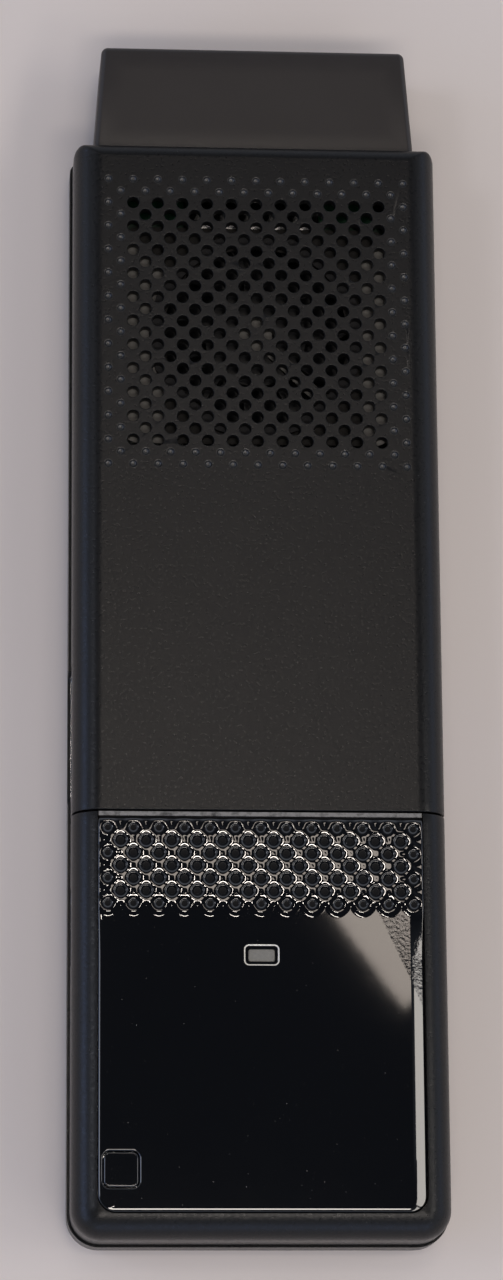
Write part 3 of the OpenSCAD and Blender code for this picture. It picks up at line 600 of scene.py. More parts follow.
# Black acrylic panel from a polished mould: mirror black, with dull floors in its dimples and painted
# highlights along the seam's edge and round the window
GLOSS = PanelFinish(
    "acrylic_polished_black", "#050506", "#070708", (0.02, 0.03), grain=2.5, relief=0.0004, cloud=14.0,
    ior=1.49, coat=1.0, scuff="#8a8a8c", scuff_size=1.1, scuff_from=0.78, dust_size=0.16, dust_from=0.85,
)
# Frosted polycarbonate light guide: pale and dull, with the speckle of its scattering filler
WINDOW = Finish(
    "polycarbonate_frosted", "#84827b", "#6c6a64", (0.35, 0.6), grain=0.16, relief=0.01, cloud=0.3, ior=1.58
)
# Nickel-plated steel, stamped and folded: bright, with faint rolling lines along the sheet
STEEL = Finish(
    "steel_nickel_plated", "#c4c5c6", "#b7b9bb", (0.2, 0.27), relief=0.0005, metallic=1.0, stretch=(1, 8, 1)
)
# Gold flash on copper alloy contacts: smooth, warm and even
GOLD = Finish("contact_gold_flashed", "#d8ac52", "#c3943f", (0.18, 0.3), grain=0.2, relief=0.001, metallic=1.0)
# Glass-filled nylon, moulded: dull black with a fibrous grain
NYLON = Finish("nylon_glass_filled", "#141415", "#1c1c1e", (0.45, 0.6), grain=0.15, relief=0.006)
# The same nylon, undyed: milky and a little smoother
NYLON_PALE = Finish("nylon_undyed", "#d9d6cb", "#cbc8bc", (0.35, 0.5), grain=0.2, relief=0.004)
# The same nylon, dyed blue for the faster socket
NYLON_BLUE = Finish("nylon_dyed_blue", "#1450a8", "#1a5cc0", (0.4, 0.55), grain=0.15, relief=0.006)
# Glass-epoxy laminate under a green lacquer: a weave of about 0.4 mm under a satin coat
BOARD = Finish("glass_epoxy_lacquered", "#12432c", "#1b5a3b", (0.3, 0.45), grain=0.4, relief=0.006)
# Moulded epoxy over a chip: dark grey, fine sandy grain
EPOXY = Finish("epoxy_moulded_grey", "#1e1f21", "#27282a", (0.5, 0.65), grain=0.12, relief=0.006)
# Filled silicone pad: dull grey-blue and slightly lumpy
SILICONE = Finish("silicone_pad_filled", "#7c8a96", "#6c7883", (0.7, 0.85), grain=0.5, relief=0.02)
# Stamped aluminium sheet: pale silver with rolling lines
SPREADER = Finish(
    "aluminium_stamped", "#bdbec0", "#a8aaac", (0.25, 0.4), relief=0.002, metallic=1.0, stretch=(9, 1, 1)
)
# Glass-filled polyester fan frame: dull dark grey
FAN_FRAME = Finish("polyester_moulded_grey", "#2c2d30", "#38393c", (0.45, 0.6), grain=0.2, relief=0.008)
# The rotor's polyester: near black
FAN_ROTOR = Finish("polyester_moulded_black", "#252628", "#303134", (0.4, 0.55), grain=0.2, relief=0.006)
# Cover plate of the fan, etched aluminium: an even dull grey with a crystalline mottle, darker over
# a band down its middle and a wedge at its +Y end, with its two sides and a disc round its hub left as they are
FAN_PLATE = DarkenedPlateFinish(
    "aluminium_etched_grey", "#918f8c", "#7a7976", (0.6, 0.75), grain=0.25, relief=0.006, cloud=0.5
)
# Enamelled copper winding on laminated iron: red-brown, ribbed by the turns of the wire
COIL = Finish(
    "copper_enamelled", "#a1552a", "#86431f", (0.3, 0.45), grain=0.12, relief=0.02, metallic=1.0,
    stretch=(1, 1, 6),
)
# Closed-cell polyurethane foam: charcoal, with a cut face full of cells
FOAM = Finish("polyurethane_foam", "#232325", "#2f2f31", (0.85, 0.95), grain=0.25, relief=0.08)
# Tinned sheet steel can over the radio: a softer silver than the sockets
SHIELD = Finish(
    "steel_tinned_can", "#b9bbbd", "#a2a4a6", (0.28, 0.42), relief=0.003, metallic=1.0, stretch=(1, 7, 1)
)
# Flexible polyimide film over copper: amber and satin
ANTENNA = Finish("polyimide_film", "#8a5a1c", "#a06c26", (0.3, 0.4), grain=0.4, relief=0.002)
# Pressed ferrite: mid grey, matt, slightly pitted
FERRITE = Finish("ferrite_pressed", "#3c3c3f", "#49494c", (0.6, 0.75), grain=0.15, relief=0.01)
# Zinc-plated steel screw: bright with a faint bluish tint
SCREW = Finish("steel_zinc_plated", "#b9bec6", "#9aa0a9", (0.25, 0.4), grain=0.2, relief=0.003, metallic=1.0)
# Stainless steel spring can of the switch: plain grey and even
SWITCH = Finish("stainless_stamped", "#b2b3b5", "#9fa0a2", (0.25, 0.35), grain=0.2, relief=0.002, metallic=1.0)
# Clear epoxy over the lamp: smooth and faintly yellow
LAMP = Finish("epoxy_clear_cast", "#e4e2d2", "#d2d0bf", (0.15, 0.25), grain=0.4, relief=0.001, ior=1.54)
# Pale paper sweep under the object: dull and warm, with a faint tooth
PAPER = Finish("paper_sweep_warm", "#e8ded7", "#e2d8d1", (0.7, 0.85), grain=0.8, relief=0.01, cloud=60.0)

# ---------------------------------------------------------------------------------------------
# Mesh tools
# ---------------------------------------------------------------------------------------------


def ease(value: float, low: float, high: float) -> float:
    """Rise smoothly from 0 at a low value to 1 at a high one."""
    t = min(1.0, max(0.0, (value - low) / (high - low)))
    return t * t * (3 - 2 * t)


def rounded(share: float) -> float:
    """Fall from 1 at an edge to 0 over a round, as a share of its radius."""
    return 1 - math.sqrt(max(0.0, 1 - (1 - min(1.0, max(0.0, share))) ** 2))


def quarter(steps: int) -> list[float]:
    """Give even turns over a quarter of a circle, in radians."""
    return [k / steps * math.pi / 2 for k in range(steps + 1)]


def graded(low: float, high: float, count: int, power: float = 1.0) -> list[float]:
    """Give places from one value towards another, which is left out.

    Args:
        low: the first place.
        high: the value that the places lead to.
        count: how many places there are.
        power: how much closer together they are at the first place.

    Returns:
        The places in order.
    """
    return [low + (high - low) * (k / count) ** power for k in range(count)]


def block(low: Sequence[float], high: Sequence[float]) -> BMesh:
    """Make a box between two corners.

    Args:
        low: its lowest corner.
        high: its highest corner.

    Returns:
        The box as a closed mesh.
    """
    bm = bmesh.new()
    a, b = Vector(low), Vector(high)
    size = Matrix.Diagonal((*(b - a), 1.0))
    bmesh.ops.create_cube(bm, size=1.0, matrix=Matrix.Translation((a + b) / 2) @ size)
    return bm


def runs_along(edge: BMEdge, axis: Axis) -> bool:
    """Tell whether an edge runs along an axis."""
    way = (edge.verts[1].co - edge.verts[0].co).normalized()
    return abs(way[axis.value]) > ALONG


def lies_at(edge: BMEdge, axis: Axis, value: float) -> bool:
    """Tell whether both ends of an edge lie in a plane across an axis."""
    return all(abs(v.co[axis.value] - value) < NEAR for v in edge.verts)


def round_edges(bm: BMesh, picked: Callable[[BMEdge], bool], radius: float, steps: int) -> None:
    """Round the edges that a test picks.

    Args:
        bm: mesh that is changed.
        picked: says whether an edge is rounded.
        radius: radius of the round in millimetres.
        steps: number of faces across it.
    """
    bmesh.ops.bevel(
        bm, geom=[e for e in bm.edges if picked(e)], offset=radius, offset_type="OFFSET", segments=steps,
        profile=0.5, affect="EDGES", clamp_overlap=True, material=-1,
    )


def raise_top(bm: BMesh, heights: Iterable[Pair]) -> None:
    """Draw the highest face of a mesh upwards in steps that widen it.

    Args:
        bm: mesh that is changed.
        heights: height of each step, and how much wider it is on each side than the first.
    """
    face = max(bm.faces, key=lambda f: f.calc_center_median().z)
    low = Vector([min(v.co[k] for v in face.verts) for k in range(3)])
    high = Vector([max(v.co[k] for v in face.verts) for k in range(3)])
    middle, reach = (low + high) / 2, (high - low) / 2
    start = [v.co.copy() for v in face.verts]
    for z, grow in heights:
        made = bmesh.ops.extrude_face_region(bm, geom=[face])["geom"]
        if face.is_valid:
            bmesh.ops.delete(bm, geom=[face], context="FACES_ONLY")
        face = next(g for g in made if isinstance(g, BMFace))
        for vert, co in zip(face.verts, start):
            vert.co.x = middle.x + (co.x - middle.x) * (1 + grow / reach.x)
            vert.co.y = middle.y + (co.y - middle.y) * (1 + grow / reach.y)
            vert.co.z = z


def pillar(centre: Sequence[float], size: Sequence[float], corner: float, z: Pair, steps: int = 5) -> BMesh:
    """Make an upright block with rounded corners.

    Args:
        centre: its middle in X and Y.
        size: its width and length.
        corner: radius of the upright corners.
        z: its lowest and highest point.
        steps: faces round each corner.

    Returns:
        The block as a closed mesh.
    """
    (x, y), (w, l) = centre, size
    bm = block((x - w / 2, y - l / 2, z[0]), (x + w / 2, y + l / 2, z[1]))
    round_edges(bm, lambda e: runs_along(e, Axis.Z), corner, steps)
    return bm


def flare(top: float, radius: float, steps: int = 4) -> list[Pair]:
    """Give the steps that round the rim of an opening outwards.

    Args:
        top: height of the surface that is opened.
        radius: radius of the rim.
        steps: faces across it.

    Returns:
        Heights and widenings for raise_top.
    """
    rim = [(top - radius + radius * math.sin(a), radius * (1 - math.cos(a))) for a in quarter(steps)[1:]]
    return [*rim, (top + OVER, radius)]


def turned(profile: Sequence[Pair], steps: int) -> BMesh:
    """Turn a profile about the upright axis.

    Args:
        profile: radius and height of each point, from axis to axis.
        steps: faces round the axis.

    Returns:
        The closed round shape.
    """
    bm = bmesh.new()
    verts = [bm.verts.new((r, 0.0, z)) for r, z in profile]
    edges = [bm.edges.new(pair) for pair in zip(verts, verts[1:])]
    bmesh.ops.spin(
        bm, geom=[*verts, *edges], cent=(0, 0, 0), axis=(0, 0, 1), angle=math.tau, steps=steps, use_merge=True
    )
    bmesh.ops.remove_doubles(bm, verts=bm.verts, dist=TINY)
    bmesh.ops.recalc_face_normals(bm, faces=bm.faces)
    return bm


def spread(bm: BMesh, centres: Sequence[Pair]) -> BMesh:
    """Set copies of a shape at each place, and take the first one away.

    Args:
        bm: the shape, about the origin. It is changed.
        centres: X and Y of each copy.

    Returns:
        The same mesh with the copies.
    """
    verts = list(bm.verts)
    first = [*verts, *bm.edges, *bm.faces]
    for x, y in centres:
        made = bmesh.ops.duplicate(bm, geom=first)["geom"]
        bmesh.ops.translate(bm, vec=(x, y, 0.0), verts=[g for g in made if isinstance(g, BMVert)])
    bmesh.ops.delete(bm, geom=verts, context="VERTS")
    return bm


def lay_grid(bm: BMesh, columns: int, rows: int, place: Callable[[int, int], Vector]) -> None:
    """Lay a grid over a form.

    Args:
        bm: mesh that gets the grid.
        columns: faces along the first direction.
        rows: faces along the second.
        place: gives the point for a column and a row.
    """
    made = bmesh.ops.create_grid(bm, x_segments=columns, y_segments=rows, size=1.0)
    for vert in made["verts"]:
        i, j = round((vert.co.x + 1) / 2 * columns), round((vert.co.y + 1) / 2 * rows)
        vert.co = place(i, j)


def as_object(bm: BMesh, name: str) -> Object:
    """Put a mesh into the scene and free it.

    Args:
        bm: the mesh.
        name: name of the object.

    Returns:
        The new object.
    """
    mesh = bpy.data.meshes.new(name)
    bm.to_mesh(mesh)
    bm.free()
    made = bpy.data.objects.new(name, mesh)
    bpy.context.scene.collection.objects.link(made)
    return made


def carve(bm: BMesh, *tools: BMesh, way: Way = Way.TAKE) -> BMesh:
    """Take shapes away from a solid, or add them to it.

    Args:
        bm: the solid, which is freed.
        tools: closed shapes, which are freed.
        way: whether the shapes are taken away or added.

    Returns:
        The changed solid.
    """
    solid = as_object(bm, "solid")
    spent = [solid, *(as_object(t, "tool") for t in tools)]
    for tool in spent[1:]:
        cut = solid.modifiers.new("cut", "BOOLEAN")
        cut.object, cut.operation, cut.solver = tool, way.value, "MANIFOLD"
    bpy.context.view_layer.update()
    shown = solid.evaluated_get(bpy.context.evaluated_depsgraph_get())
    left = bmesh.new()
    left.from_mesh(shown.to_mesh())
    shown.to_mesh_clear()
    for used in spent:
        mesh = used.data
        bpy.data.objects.remove(used)
        bpy.data.meshes.remove(mesh)
    bmesh.ops.dissolve_degenerate(left, dist=TINY, edges=left.edges)
    return left


def copy_of(node: str) -> BMesh:
    """Copy a CAD node's mesh, merged into flat faces.

    Args:
        node: name of the node.

    Returns:
        The copy in millimetres.
    """
    bm = bmesh.new()
    bm.from_mesh(frame["nodes"][node].data)
    bmesh.ops.scale(bm, vec=(1 / MM,) * 3, verts=bm.verts)
    bmesh.ops.remove_doubles(bm, verts=bm.verts, dist=WELD)
    bmesh.ops.dissolve_limit(bm, angle_limit=FLAT, verts=bm.verts, edges=bm.edges)
    return bm


def fit(
    bm: BMesh, piece: Piece, material: Material, crisp: Callable[[BMEdge], bool] = lambda e: False
) -> None:
    """Finish a mesh as a piece of the object.

    Args:
        bm: the mesh in millimetres, which is freed.
        piece: how it joins the frame.
        material: its finish.
        crisp: says whether an edge stays crisp though it turns little.
    """
    for edge in bm.edges:
        edge.smooth = edge.calc_face_angle(0.0) < CREASE and not crisp(edge)
    for face in bm.faces:
        face.smooth = True
    bmesh.ops.scale(bm, vec=(MM,) * 3, verts=bm.verts)
    made = as_object(bm, piece.name)
    made.data.materials.append(material)
    even = made.modifiers.new("even_shading", "WEIGHTED_NORMAL")
    even.keep_sharp = True
    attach(made, piece.body.value)
    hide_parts(*piece.nodes)
    LOG.info("%s: %d faces, on %s", piece.name, len(made.data.polygons), piece.body.value)


# ---------------------------------------------------------------------------------------------
# Covers
# ---------------------------------------------------------------------------------------------


@dataclass
class RolledCover:
    """An upper cover: a flat top whose edges roll over to upright walls.

    Attributes:
        start: Y of the end at the seam.
        end: Y of the rounded end.
        end_roll: reach and drop of the roll at that end.
        corner: plan radius of its two corners.
        ceiling: height of the room inside it.
        end_wall: thickness of the wall at its rounded end.
        side_wall: thickness of its side walls.
        room_round: radius of the room's upper edges.
        half_width: half of the cover's width.
        foot: height of the parting line.
        top: height of the flat top.
        side_roll: reach and drop of the rolls along the sides.
        roll_steps: faces across a roll.
        corner_steps: faces round a corner.
        seam_round: radius of the edges at the seam.
        foot_round: radius of the edges at the parting line.
    """

    start: float
    end: float
    end_roll: float
    corner: float
    ceiling: float
    end_wall: float
    side_wall: float = 1.4
    room_round: float = 1.6
    half_width: float = 18.75
    foot: float = 5.0
    top: float = 12.0
    side_roll: float = 3.0
    roll_steps: int = 12
    corner_steps: int = 8
    seam_round: float = 0.08
    foot_round: float = 0.1

    def rays(self) -> list[tuple[Vector, Vector, float]]:
        """Give the lines that the roll follows, from the seam round the end and back.

        Returns:
            For each line the edge of the flat, the outside of the wall, and the drop between them.
        """
        ahead = math.copysign(1.0, self.end - self.start)
        flat_x, flat_y = self.half_width - self.side_roll, self.end - ahead * self.end_roll
        side = [
            (Vector((-flat_x, y, 0)), Vector((-self.half_width, y, 0)), self.side_roll)
            for y in (self.start, self.start + ahead, (self.start + flat_y) / 2)
        ]
        pivot = Vector((-flat_x, flat_y, 0))
        middle = Vector((self.corner - self.half_width, self.end - ahead * self.corner, 0))
        if abs(middle.y - flat_y) > NEAR:
            side.append((pivot, Vector((-self.half_width, flat_y, 0)), self.side_roll))
        for turn in quarter(self.corner_steps):
            rim = middle + self.corner * Vector((-math.cos(turn), ahead * math.sin(turn), 0))
            side.append((pivot, rim, self.side_roll + (self.end_roll - self.side_roll) * math.sin(turn) ** 2))
        if abs(middle.x + flat_x) > NEAR:
            side.append((pivot, Vector((-flat_x, self.end, 0)), self.end_roll))
        flip = Matrix.Diagonal((-1, 1, 1))
        return side + [(flip @ a, flip @ b, drop) for a, b, drop in reversed(side)]

    def blank(self) -> BMesh:
        """Make the cover as a solid block with its outside finished.

        Returns:
            The closed block.
        """
        rays, turns = self.rays(), quarter(self.roll_steps)

        def place(i: int, j: int) -> Vector:
            """Give a point of the roll, or of the foot of the wall in the last row."""
            inner, outer, drop = rays[i]
            if j > self.roll_steps:
                return Vector((outer.x, outer.y, self.foot))
            at = inner.lerp(outer, math.sin(turns[j]))
            return Vector((at.x, at.y, self.top - drop * (1 - math.cos(turns[j]))))

        bm = bmesh.new()
        lay_grid(bm, len(rays) - 1, self.roll_steps + 1, place)
        bmesh.ops.remove_doubles(bm, verts=bm.verts, dist=TINY)
        for z in (self.top, self.foot):
            ends = [v for v in bm.verts if abs(v.co.y - self.start) < NEAR and abs(v.co.z - z) < NEAR]
            bm.edges.new(ends)
        for axis, value in ((Axis.Z, self.top), (Axis.Z, self.foot), (Axis.Y, self.start)):
            bmesh.ops.edgeloop_fill(bm, edges=[e for e in bm.edges if lies_at(e, axis, value)])
        bmesh.ops.recalc_face_normals(bm, faces=bm.faces)

        def at_seam(edge: BMEdge) -> bool:
            """Tell whether an edge bounds the end at the seam."""
            return lies_at(edge, Axis.Y, self.start) and edge.calc_face_angle(0) > SHARP

        round_edges(bm, lambda e: lies_at(e, Axis.Z, self.foot), self.foot_round, steps=2)
        round_edges(bm, at_seam, self.seam_round, steps=4)
        return bm

    def room(self) -> BMesh:
        """Make the shape of the room inside the cover.

        Returns:
            The closed shape of the room, open past the seam and the parting line.
        """
        ahead = math.copysign(1.0, self.end - self.start)
        low, high = sorted((self.start - ahead * OVER, self.end - ahead * self.end_wall))
        wide = self.half_width - self.side_wall
        bm = block((-wide, low, self.foot - OVER), (wide, high, self.ceiling))

        def upper(edge: BMEdge) -> bool:
            """Tell whether an edge lies along the room's ceiling."""
            return lies_at(edge, Axis.Z, self.ceiling) and runs_along(edge, Axis.Y)

        round_edges(bm, upper, self.room_round, steps=5)
        return bm


@dataclass
class Openings:
    """The ports and vents in the sides of the case.

    Attributes:
        usb_y: middle of the two wide sockets.
        usb_z: their height.
        usb_size: width and height of their openings.
        power_y: middle of the power socket.
        power_z: its height.
        power_size: width and height of its opening.
        vent_y: middle of the exhaust slots.
        vent_z: lowest and highest point of the slots.
        vent_count: how many slots there are.
        vent_pitch: spacing of the slots.
        vent_width: width of a slot.
        plug_size: width and height of the plug's opening.
        plug_z: height of the plug's middle.
        plug_y: Y between which the front wall is cut for it.
        wall_x: X between which a side wall is cut, from inside to its outside.
        corner: radius of the corners of the sockets' openings.
        rim: radius of the outer rims of those openings.
        vent_corner: radius of the slots' corners.
        vent_rim: radius of the slots' outer rims.
        plug_corner: radius of the corners of the plug's opening.
    """

    usb_y: float = -5.0
    usb_z: float = 5.7
    usb_size: Pair = (13.5, 6.12)
    power_y: float = -24.775
    power_z: float = 6.65
    power_size: Pair = (7.9, 2.9)
    vent_y: float = 35.0
    vent_z: Pair = (7.4, 9.0)
    vent_count: int = 8
    vent_pitch: float = 2.1
    vent_width: float = 1.1
    plug_size: Pair = (14.3, 4.85)
    plug_z: float = 4.9
    plug_y: Pair = (54.0, 57.5)
    wall_x: Pair = (15.5, 18.75)
    corner: float = 0.7
    rim: float = 0.1
    vent_corner: float = 0.5
    vent_rim: float = 0.08
    plug_corner: float = 0.6

    def hole(self, y: float, z: float, size: Pair, side: int, corner: float, rim: float) -> BMesh:
        """Make the shape that opens one side wall.

        Args:
            y: middle of the opening along the case.
            z: its height.
            size: its width and height.
            side: 1 for the right wall and -1 for the left one.
            corner: radius of its corners.
            rim: radius of its outer rim.

        Returns:
            The closed shape.
        """
        inside, wall = self.wall_x
        bm = pillar((z, y), (size[1], size[0]), corner, (inside, wall - rim), steps=4)
        raise_top(bm, flare(wall, rim, steps=3))
        turn = Matrix(((0, 0, side), (0, 1, 0), (1, 0, 0)))
        bmesh.ops.transform(bm, matrix=turn.to_4x4(), verts=bm.verts)
        bmesh.ops.recalc_face_normals(bm, faces=bm.faces)
        return bm

    def wide_sockets(self) -> list[BMesh]:
        """Make the openings of the two wide sockets."""
        y, z, size = self.usb_y, self.usb_z, self.usb_size
        return [self.hole(y, z, size, side, self.corner, self.rim) for side in (-1, 1)]

    def power(self) -> list[BMesh]:
        """Make the opening of the power socket."""
        return [self.hole(self.power_y, self.power_z, self.power_size, -1, self.corner, self.rim)]

    def vents(self) -> list[BMesh]:
        """Make the exhaust slots."""
        low, high = self.vent_z
        first = self.vent_y - (self.vent_count - 1) / 2 * self.vent_pitch
        places = [first + k * self.vent_pitch for k in range(self.vent_count)]
        z, size = (low + high) / 2, (self.vent_width, high - low)
        return [self.hole(y, z, size, 1, self.vent_corner, self.vent_rim) for y in places]

    def plug(self) -> list[BMesh]:
        """Make the opening of the plug in the front wall."""
        (w, h), z, (low, high) = self.plug_size, self.plug_z, self.plug_y
        bm = block((-w / 2, low, z - h / 2), (w / 2, high, z + h / 2))
        round_edges(bm, lambda e: runs_along(e, Axis.Y), self.plug_corner, steps=4)
        return [bm]


@dataclass
class FrontCover(RolledCover):
    """The front cover with its square grille over the fan.

    Attributes:
        pitch: spacing of the holes in a row.
        count: holes along a side.
        middle: Y of the grille's middle.
        hole: diameter of the air holes.
        dot: diameter of the blind dots round them.
        frame_wide: how far the frame of dots reaches in from the outermost ones, in pitches.
        rim: radius of the rims of the holes.
        hole_deep: how far down the holes are cut.
        hole_steps: faces round a hole.
        dot_rim: radius of the rims of the dots.
        dot_deep: depth of the dots under their rims.
        dot_steps: faces round a dot.
    """

    start: float = -13.8
    end: float = 56.5
    end_roll: float = 1.5
    corner: float = 1.0
    ceiling: float = 10.8
    end_wall: float = 1.2
    pitch: float = 2.54
    count: int = 13
    middle: float = 37.2
    hole: float = 1.2
    dot: float = 0.75
    frame_wide: float = 0.75
    rim: float = 0.1
    hole_deep: float = 2.5
    hole_steps: int = 16
    dot_rim: float = 0.07
    dot_deep: float = 0.24
    dot_steps: int = 14

    def lattice(self, dots: bool) -> list[Pair]:
        """Give the centres of the holes, or of the dots that frame them.

        Args:
            dots: true for the dots.

        Returns:
            X and Y of each centre.
        """
        half = (self.count - 1) / 2
        rows = [half - k / 2 for k in range(2 * self.count - 1)]
        steps = [(a, b) for a in rows for b in rows if (a - b) % 1 == 0]
        framing = [p for p in steps if max(abs(p[0]), abs(p[1])) > half - self.frame_wide]
        chosen = framing if dots else [p for p in steps if p not in framing]
        return [(a * self.pitch, self.middle + b * self.pitch) for a, b in chosen]

    def air_holes(self) -> BMesh:
        """Make the shapes that pierce the grille."""
        r, rim = self.hole / 2, self.rim
        low, high = self.top - self.hole_deep, self.top + OVER
        curve = [(r + rim * (1 - math.cos(a)), self.top - rim + rim * math.sin(a)) for a in quarter(2)]
        wall = [(0.0, low), (r, low), *curve, (r + rim, high), (0.0, high)]
        return spread(turned(wall, self.hole_steps), self.lattice(dots=False))

    def blind_dots(self) -> BMesh:
        """Make the shapes of the round-bottomed dots."""
        r, rim, high = self.dot / 2, self.dot_rim, self.top + OVER
        bowl = [(r * math.sin(a), self.top - rim - self.dot_deep * math.cos(a)) for a in quarter(4)]
        bend = rim * 0.3  # where a round of that radius is halfway
        wall = [*bowl, (r + bend, self.top - bend), (r + rim, self.top), (r + rim, high), (0.0, high)]
        return spread(turned(wall, self.dot_steps), self.lattice(dots=True))

    def polish(self, bm: BMesh) -> None:
        """Mark the dots, which smooth pins leave.

        Args:
            bm: the finished cover.
        """
        marks = bm.faces.layers.float.new(POLISH)
        dots = self.lattice(dots=True)
        deepest = self.top - self.dot
        for face in bm.faces:
            at = face.calc_center_median()
            if deepest < at.z < self.top - NEAR:
                face[marks] = float(any(math.hypot(at.x - x, at.y - y) < self.dot for x, y in dots))

    def build(self, openings: Openings, material: Material) -> None:
        """Make and place the cover.

        Args:
            openings: ports and vents of the case.
            material: its finish.
        """
        bm = carve(self.blank(), self.room())
        bm = carve(bm, *openings.wide_sockets(), *openings.vents(), *openings.plug())
        bm = carve(bm, self.air_holes(), self.blind_dots())
        self.polish(bm)
        fit(bm, Piece("front_cover", ("top_cover",), Body.STICK, "case_matte"), material)


@dataclass
class TailCover(RolledCover):
    """The tail cover with the shelf that carries the gloss panel.

    Attributes:
        bed: height of the shelf's top.
        panel_gap: gap round the panel.
    """

    start: float = -14.0
    end: float = -56.25
    end_roll: float = 3.0
    corner: float = 3.0
    ceiling: float = 10.2
    end_wall: float = 1.4
    bed: float = 11.1
    panel_gap: float = 0.05

    def build(self, openings: Openings, panel: "GlossPanel", material: Material) -> None:
        """Make and place the cover.

        Args:
            openings: ports of the case.
            panel: the panel that lies in it.
            material: its finish.
        """
        bm = carve(self.blank(), self.room())
        pocket = panel.outline(self.panel_gap, (self.bed, self.top + OVER), self.start + OVER)
        through = (self.ceiling - OVER, self.bed + OVER)
        bm = carve(bm, pocket, panel.button.way(through), panel.window.way(through), *openings.power())
        fit(bm, Piece("tail_cover_shell", ("tail_cover",), Body.STICK, "case_matte"), material)


@dataclass
class LowerCover:
    """The lower cover, with soft edges along its lip.

    Attributes:
        half_width: half of the cover's width.
        nose: Y of its end at the plug.
        tail: Y of its other end.
        corner: plan radius of its two corners at that end.
        skin: how close to the outside a point counts as on it.
        lip_round: radius of the edges on the outside.
    """

    half_width: float = 19.0
    nose: float = 56.5
    tail: float = -56.5
    corner: float = 3.25
    skin: float = 0.05
    lip_round: float = 0.12

    def on_skin(self, x: float, y: float) -> bool:
        """Tell whether a point lies on the outside of the cover, seen from above.

        Args:
            x: place across the cover.
            y: place along it.

        Returns:
            True on the outside.
        """
        aside, back = self.half_width - abs(x), y - self.tail
        if aside < self.corner and back < self.corner:
            return math.hypot(self.corner - aside, self.corner - back) > self.corner - self.skin
        return aside < self.skin or back < self.skin or y > self.nose - self.skin

    def outside(self, edge: BMEdge) -> bool:
        """Tell whether an edge lies on the outside of the cover and turns sharply."""
        sharp = edge.calc_face_angle(0) >= SHARP
        return sharp and all(self.on_skin(v.co.x, v.co.y) for v in edge.verts)

    def build(self, material: Material) -> None:
        """Make and place the cover.

        Args:
            material: its finish.
        """
        bm = copy_of("bottom_cover")
        round_edges(bm, self.outside, self.lip_round, steps=2)
        fit(bm, Piece("lower_cover", ("bottom_cover",), Body.STICK, "case_matte"), material)


# ---------------------------------------------------------------------------------------------
# Gloss panel and what sits in it
# ---------------------------------------------------------------------------------------------


@dataclass
class StatusWindow:
    """The light guide behind the panel's small window.

    Attributes:
        centre: its middle in X and Y.
        size: width and length of the pane.
        corner: radius of its corners.
        gap: gap round it.
        frame: width of the sunk frame round it.
        frame_corner: radius of the frame's corners.
        frame_rim: radius of the frame's outer rim.
        sunk: how far the pane lies below the panel.
        foot: height of the light guide's lower end.
        flange: width of the flange round it.
        flange_z: lowest and highest point of the flange.
        edge: radius of its edges.
    """

    centre: Pair = (0.0, -28.4)
    size: Pair = (2.65, 1.25)
    corner: float = 0.25
    gap: float = 0.05
    frame: float = 0.28
    frame_corner: float = 0.4
    frame_rim: float = 0.14
    sunk: float = 0.25
    foot: float = 6.2
    flange: float = 0.5
    flange_z: Pair = (9.6, 10.2)
    edge: float = 0.1

    def way(self, z: Pair) -> BMesh:
        """Make the shape of the opening that it passes, between two heights."""
        return pillar(self.centre, [s + 2 * self.gap for s in self.size], self.corner, z)

    def recess(self, top: float) -> BMesh:
        """Make the shape of the sunk frame in the panel.

        Args:
            top: height of the panel.

        Returns:
            The closed shape.
        """
        size = [s + 2 * self.frame for s in self.size]
        bm = pillar(self.centre, size, self.frame_corner, (top - self.sunk, top - self.frame_rim))
        raise_top(bm, flare(top, self.frame_rim))
        return bm

    def build(self, top: float, material: Material) -> None:
        """Make and place the light guide.

        Args:
            top: height of the panel.
            material: its finish.
        """
        wide = [s + 2 * self.flange for s in self.size]
        bm = pillar(self.centre, wide, self.corner + self.flange, self.flange_z)
        round_edges(bm, lambda e: lies_at(e, Axis.Z, self.flange_z[0]), self.edge, steps=2)
        face = top - self.sunk
        stem = pillar(self.centre, self.size, self.corner, (self.foot, face))
        round_edges(stem, lambda e: lies_at(e, Axis.Z, face), self.edge, steps=3)
        bm = carve(bm, stem, way=Way.ADD)
        fit(bm, Piece("status_light_guide", ("status_window",), Body.STICK, "window_clear"), material)


@dataclass
class PowerButton:
    """The square button in the panel's corner.

    Attributes:
        centre: its middle in X and Y.
        side: its width and length.
        corner: radius of its corners.
        gap: gap round it.
        rim: radius of its upper edge.
    """

    centre: Pair = (-13.9, -49.6)
    side: float = 3.4
    corner: float = 0.6
    gap: float = 0.12
    rim: float = 0.16

    def way(self, z: Pair) -> BMesh:
        """Make the shape of the well that it moves in, between two heights."""
        return pillar(self.centre, [self.side + 2 * self.gap] * 2, self.corner + self.gap, z)

    def build(self, top: float, material: Material) -> None:
        """Make and place the button.

        Args:
            top: height of the panel.
            material: its finish.
        """
        bm = copy_of("power_button")
        round_edges(bm, lambda e: lies_at(e, Axis.Z, top), self.rim, steps=4)
        fit(bm, Piece("power_key", ("power_button",), Body.BUTTON, "panel_gloss"), material)


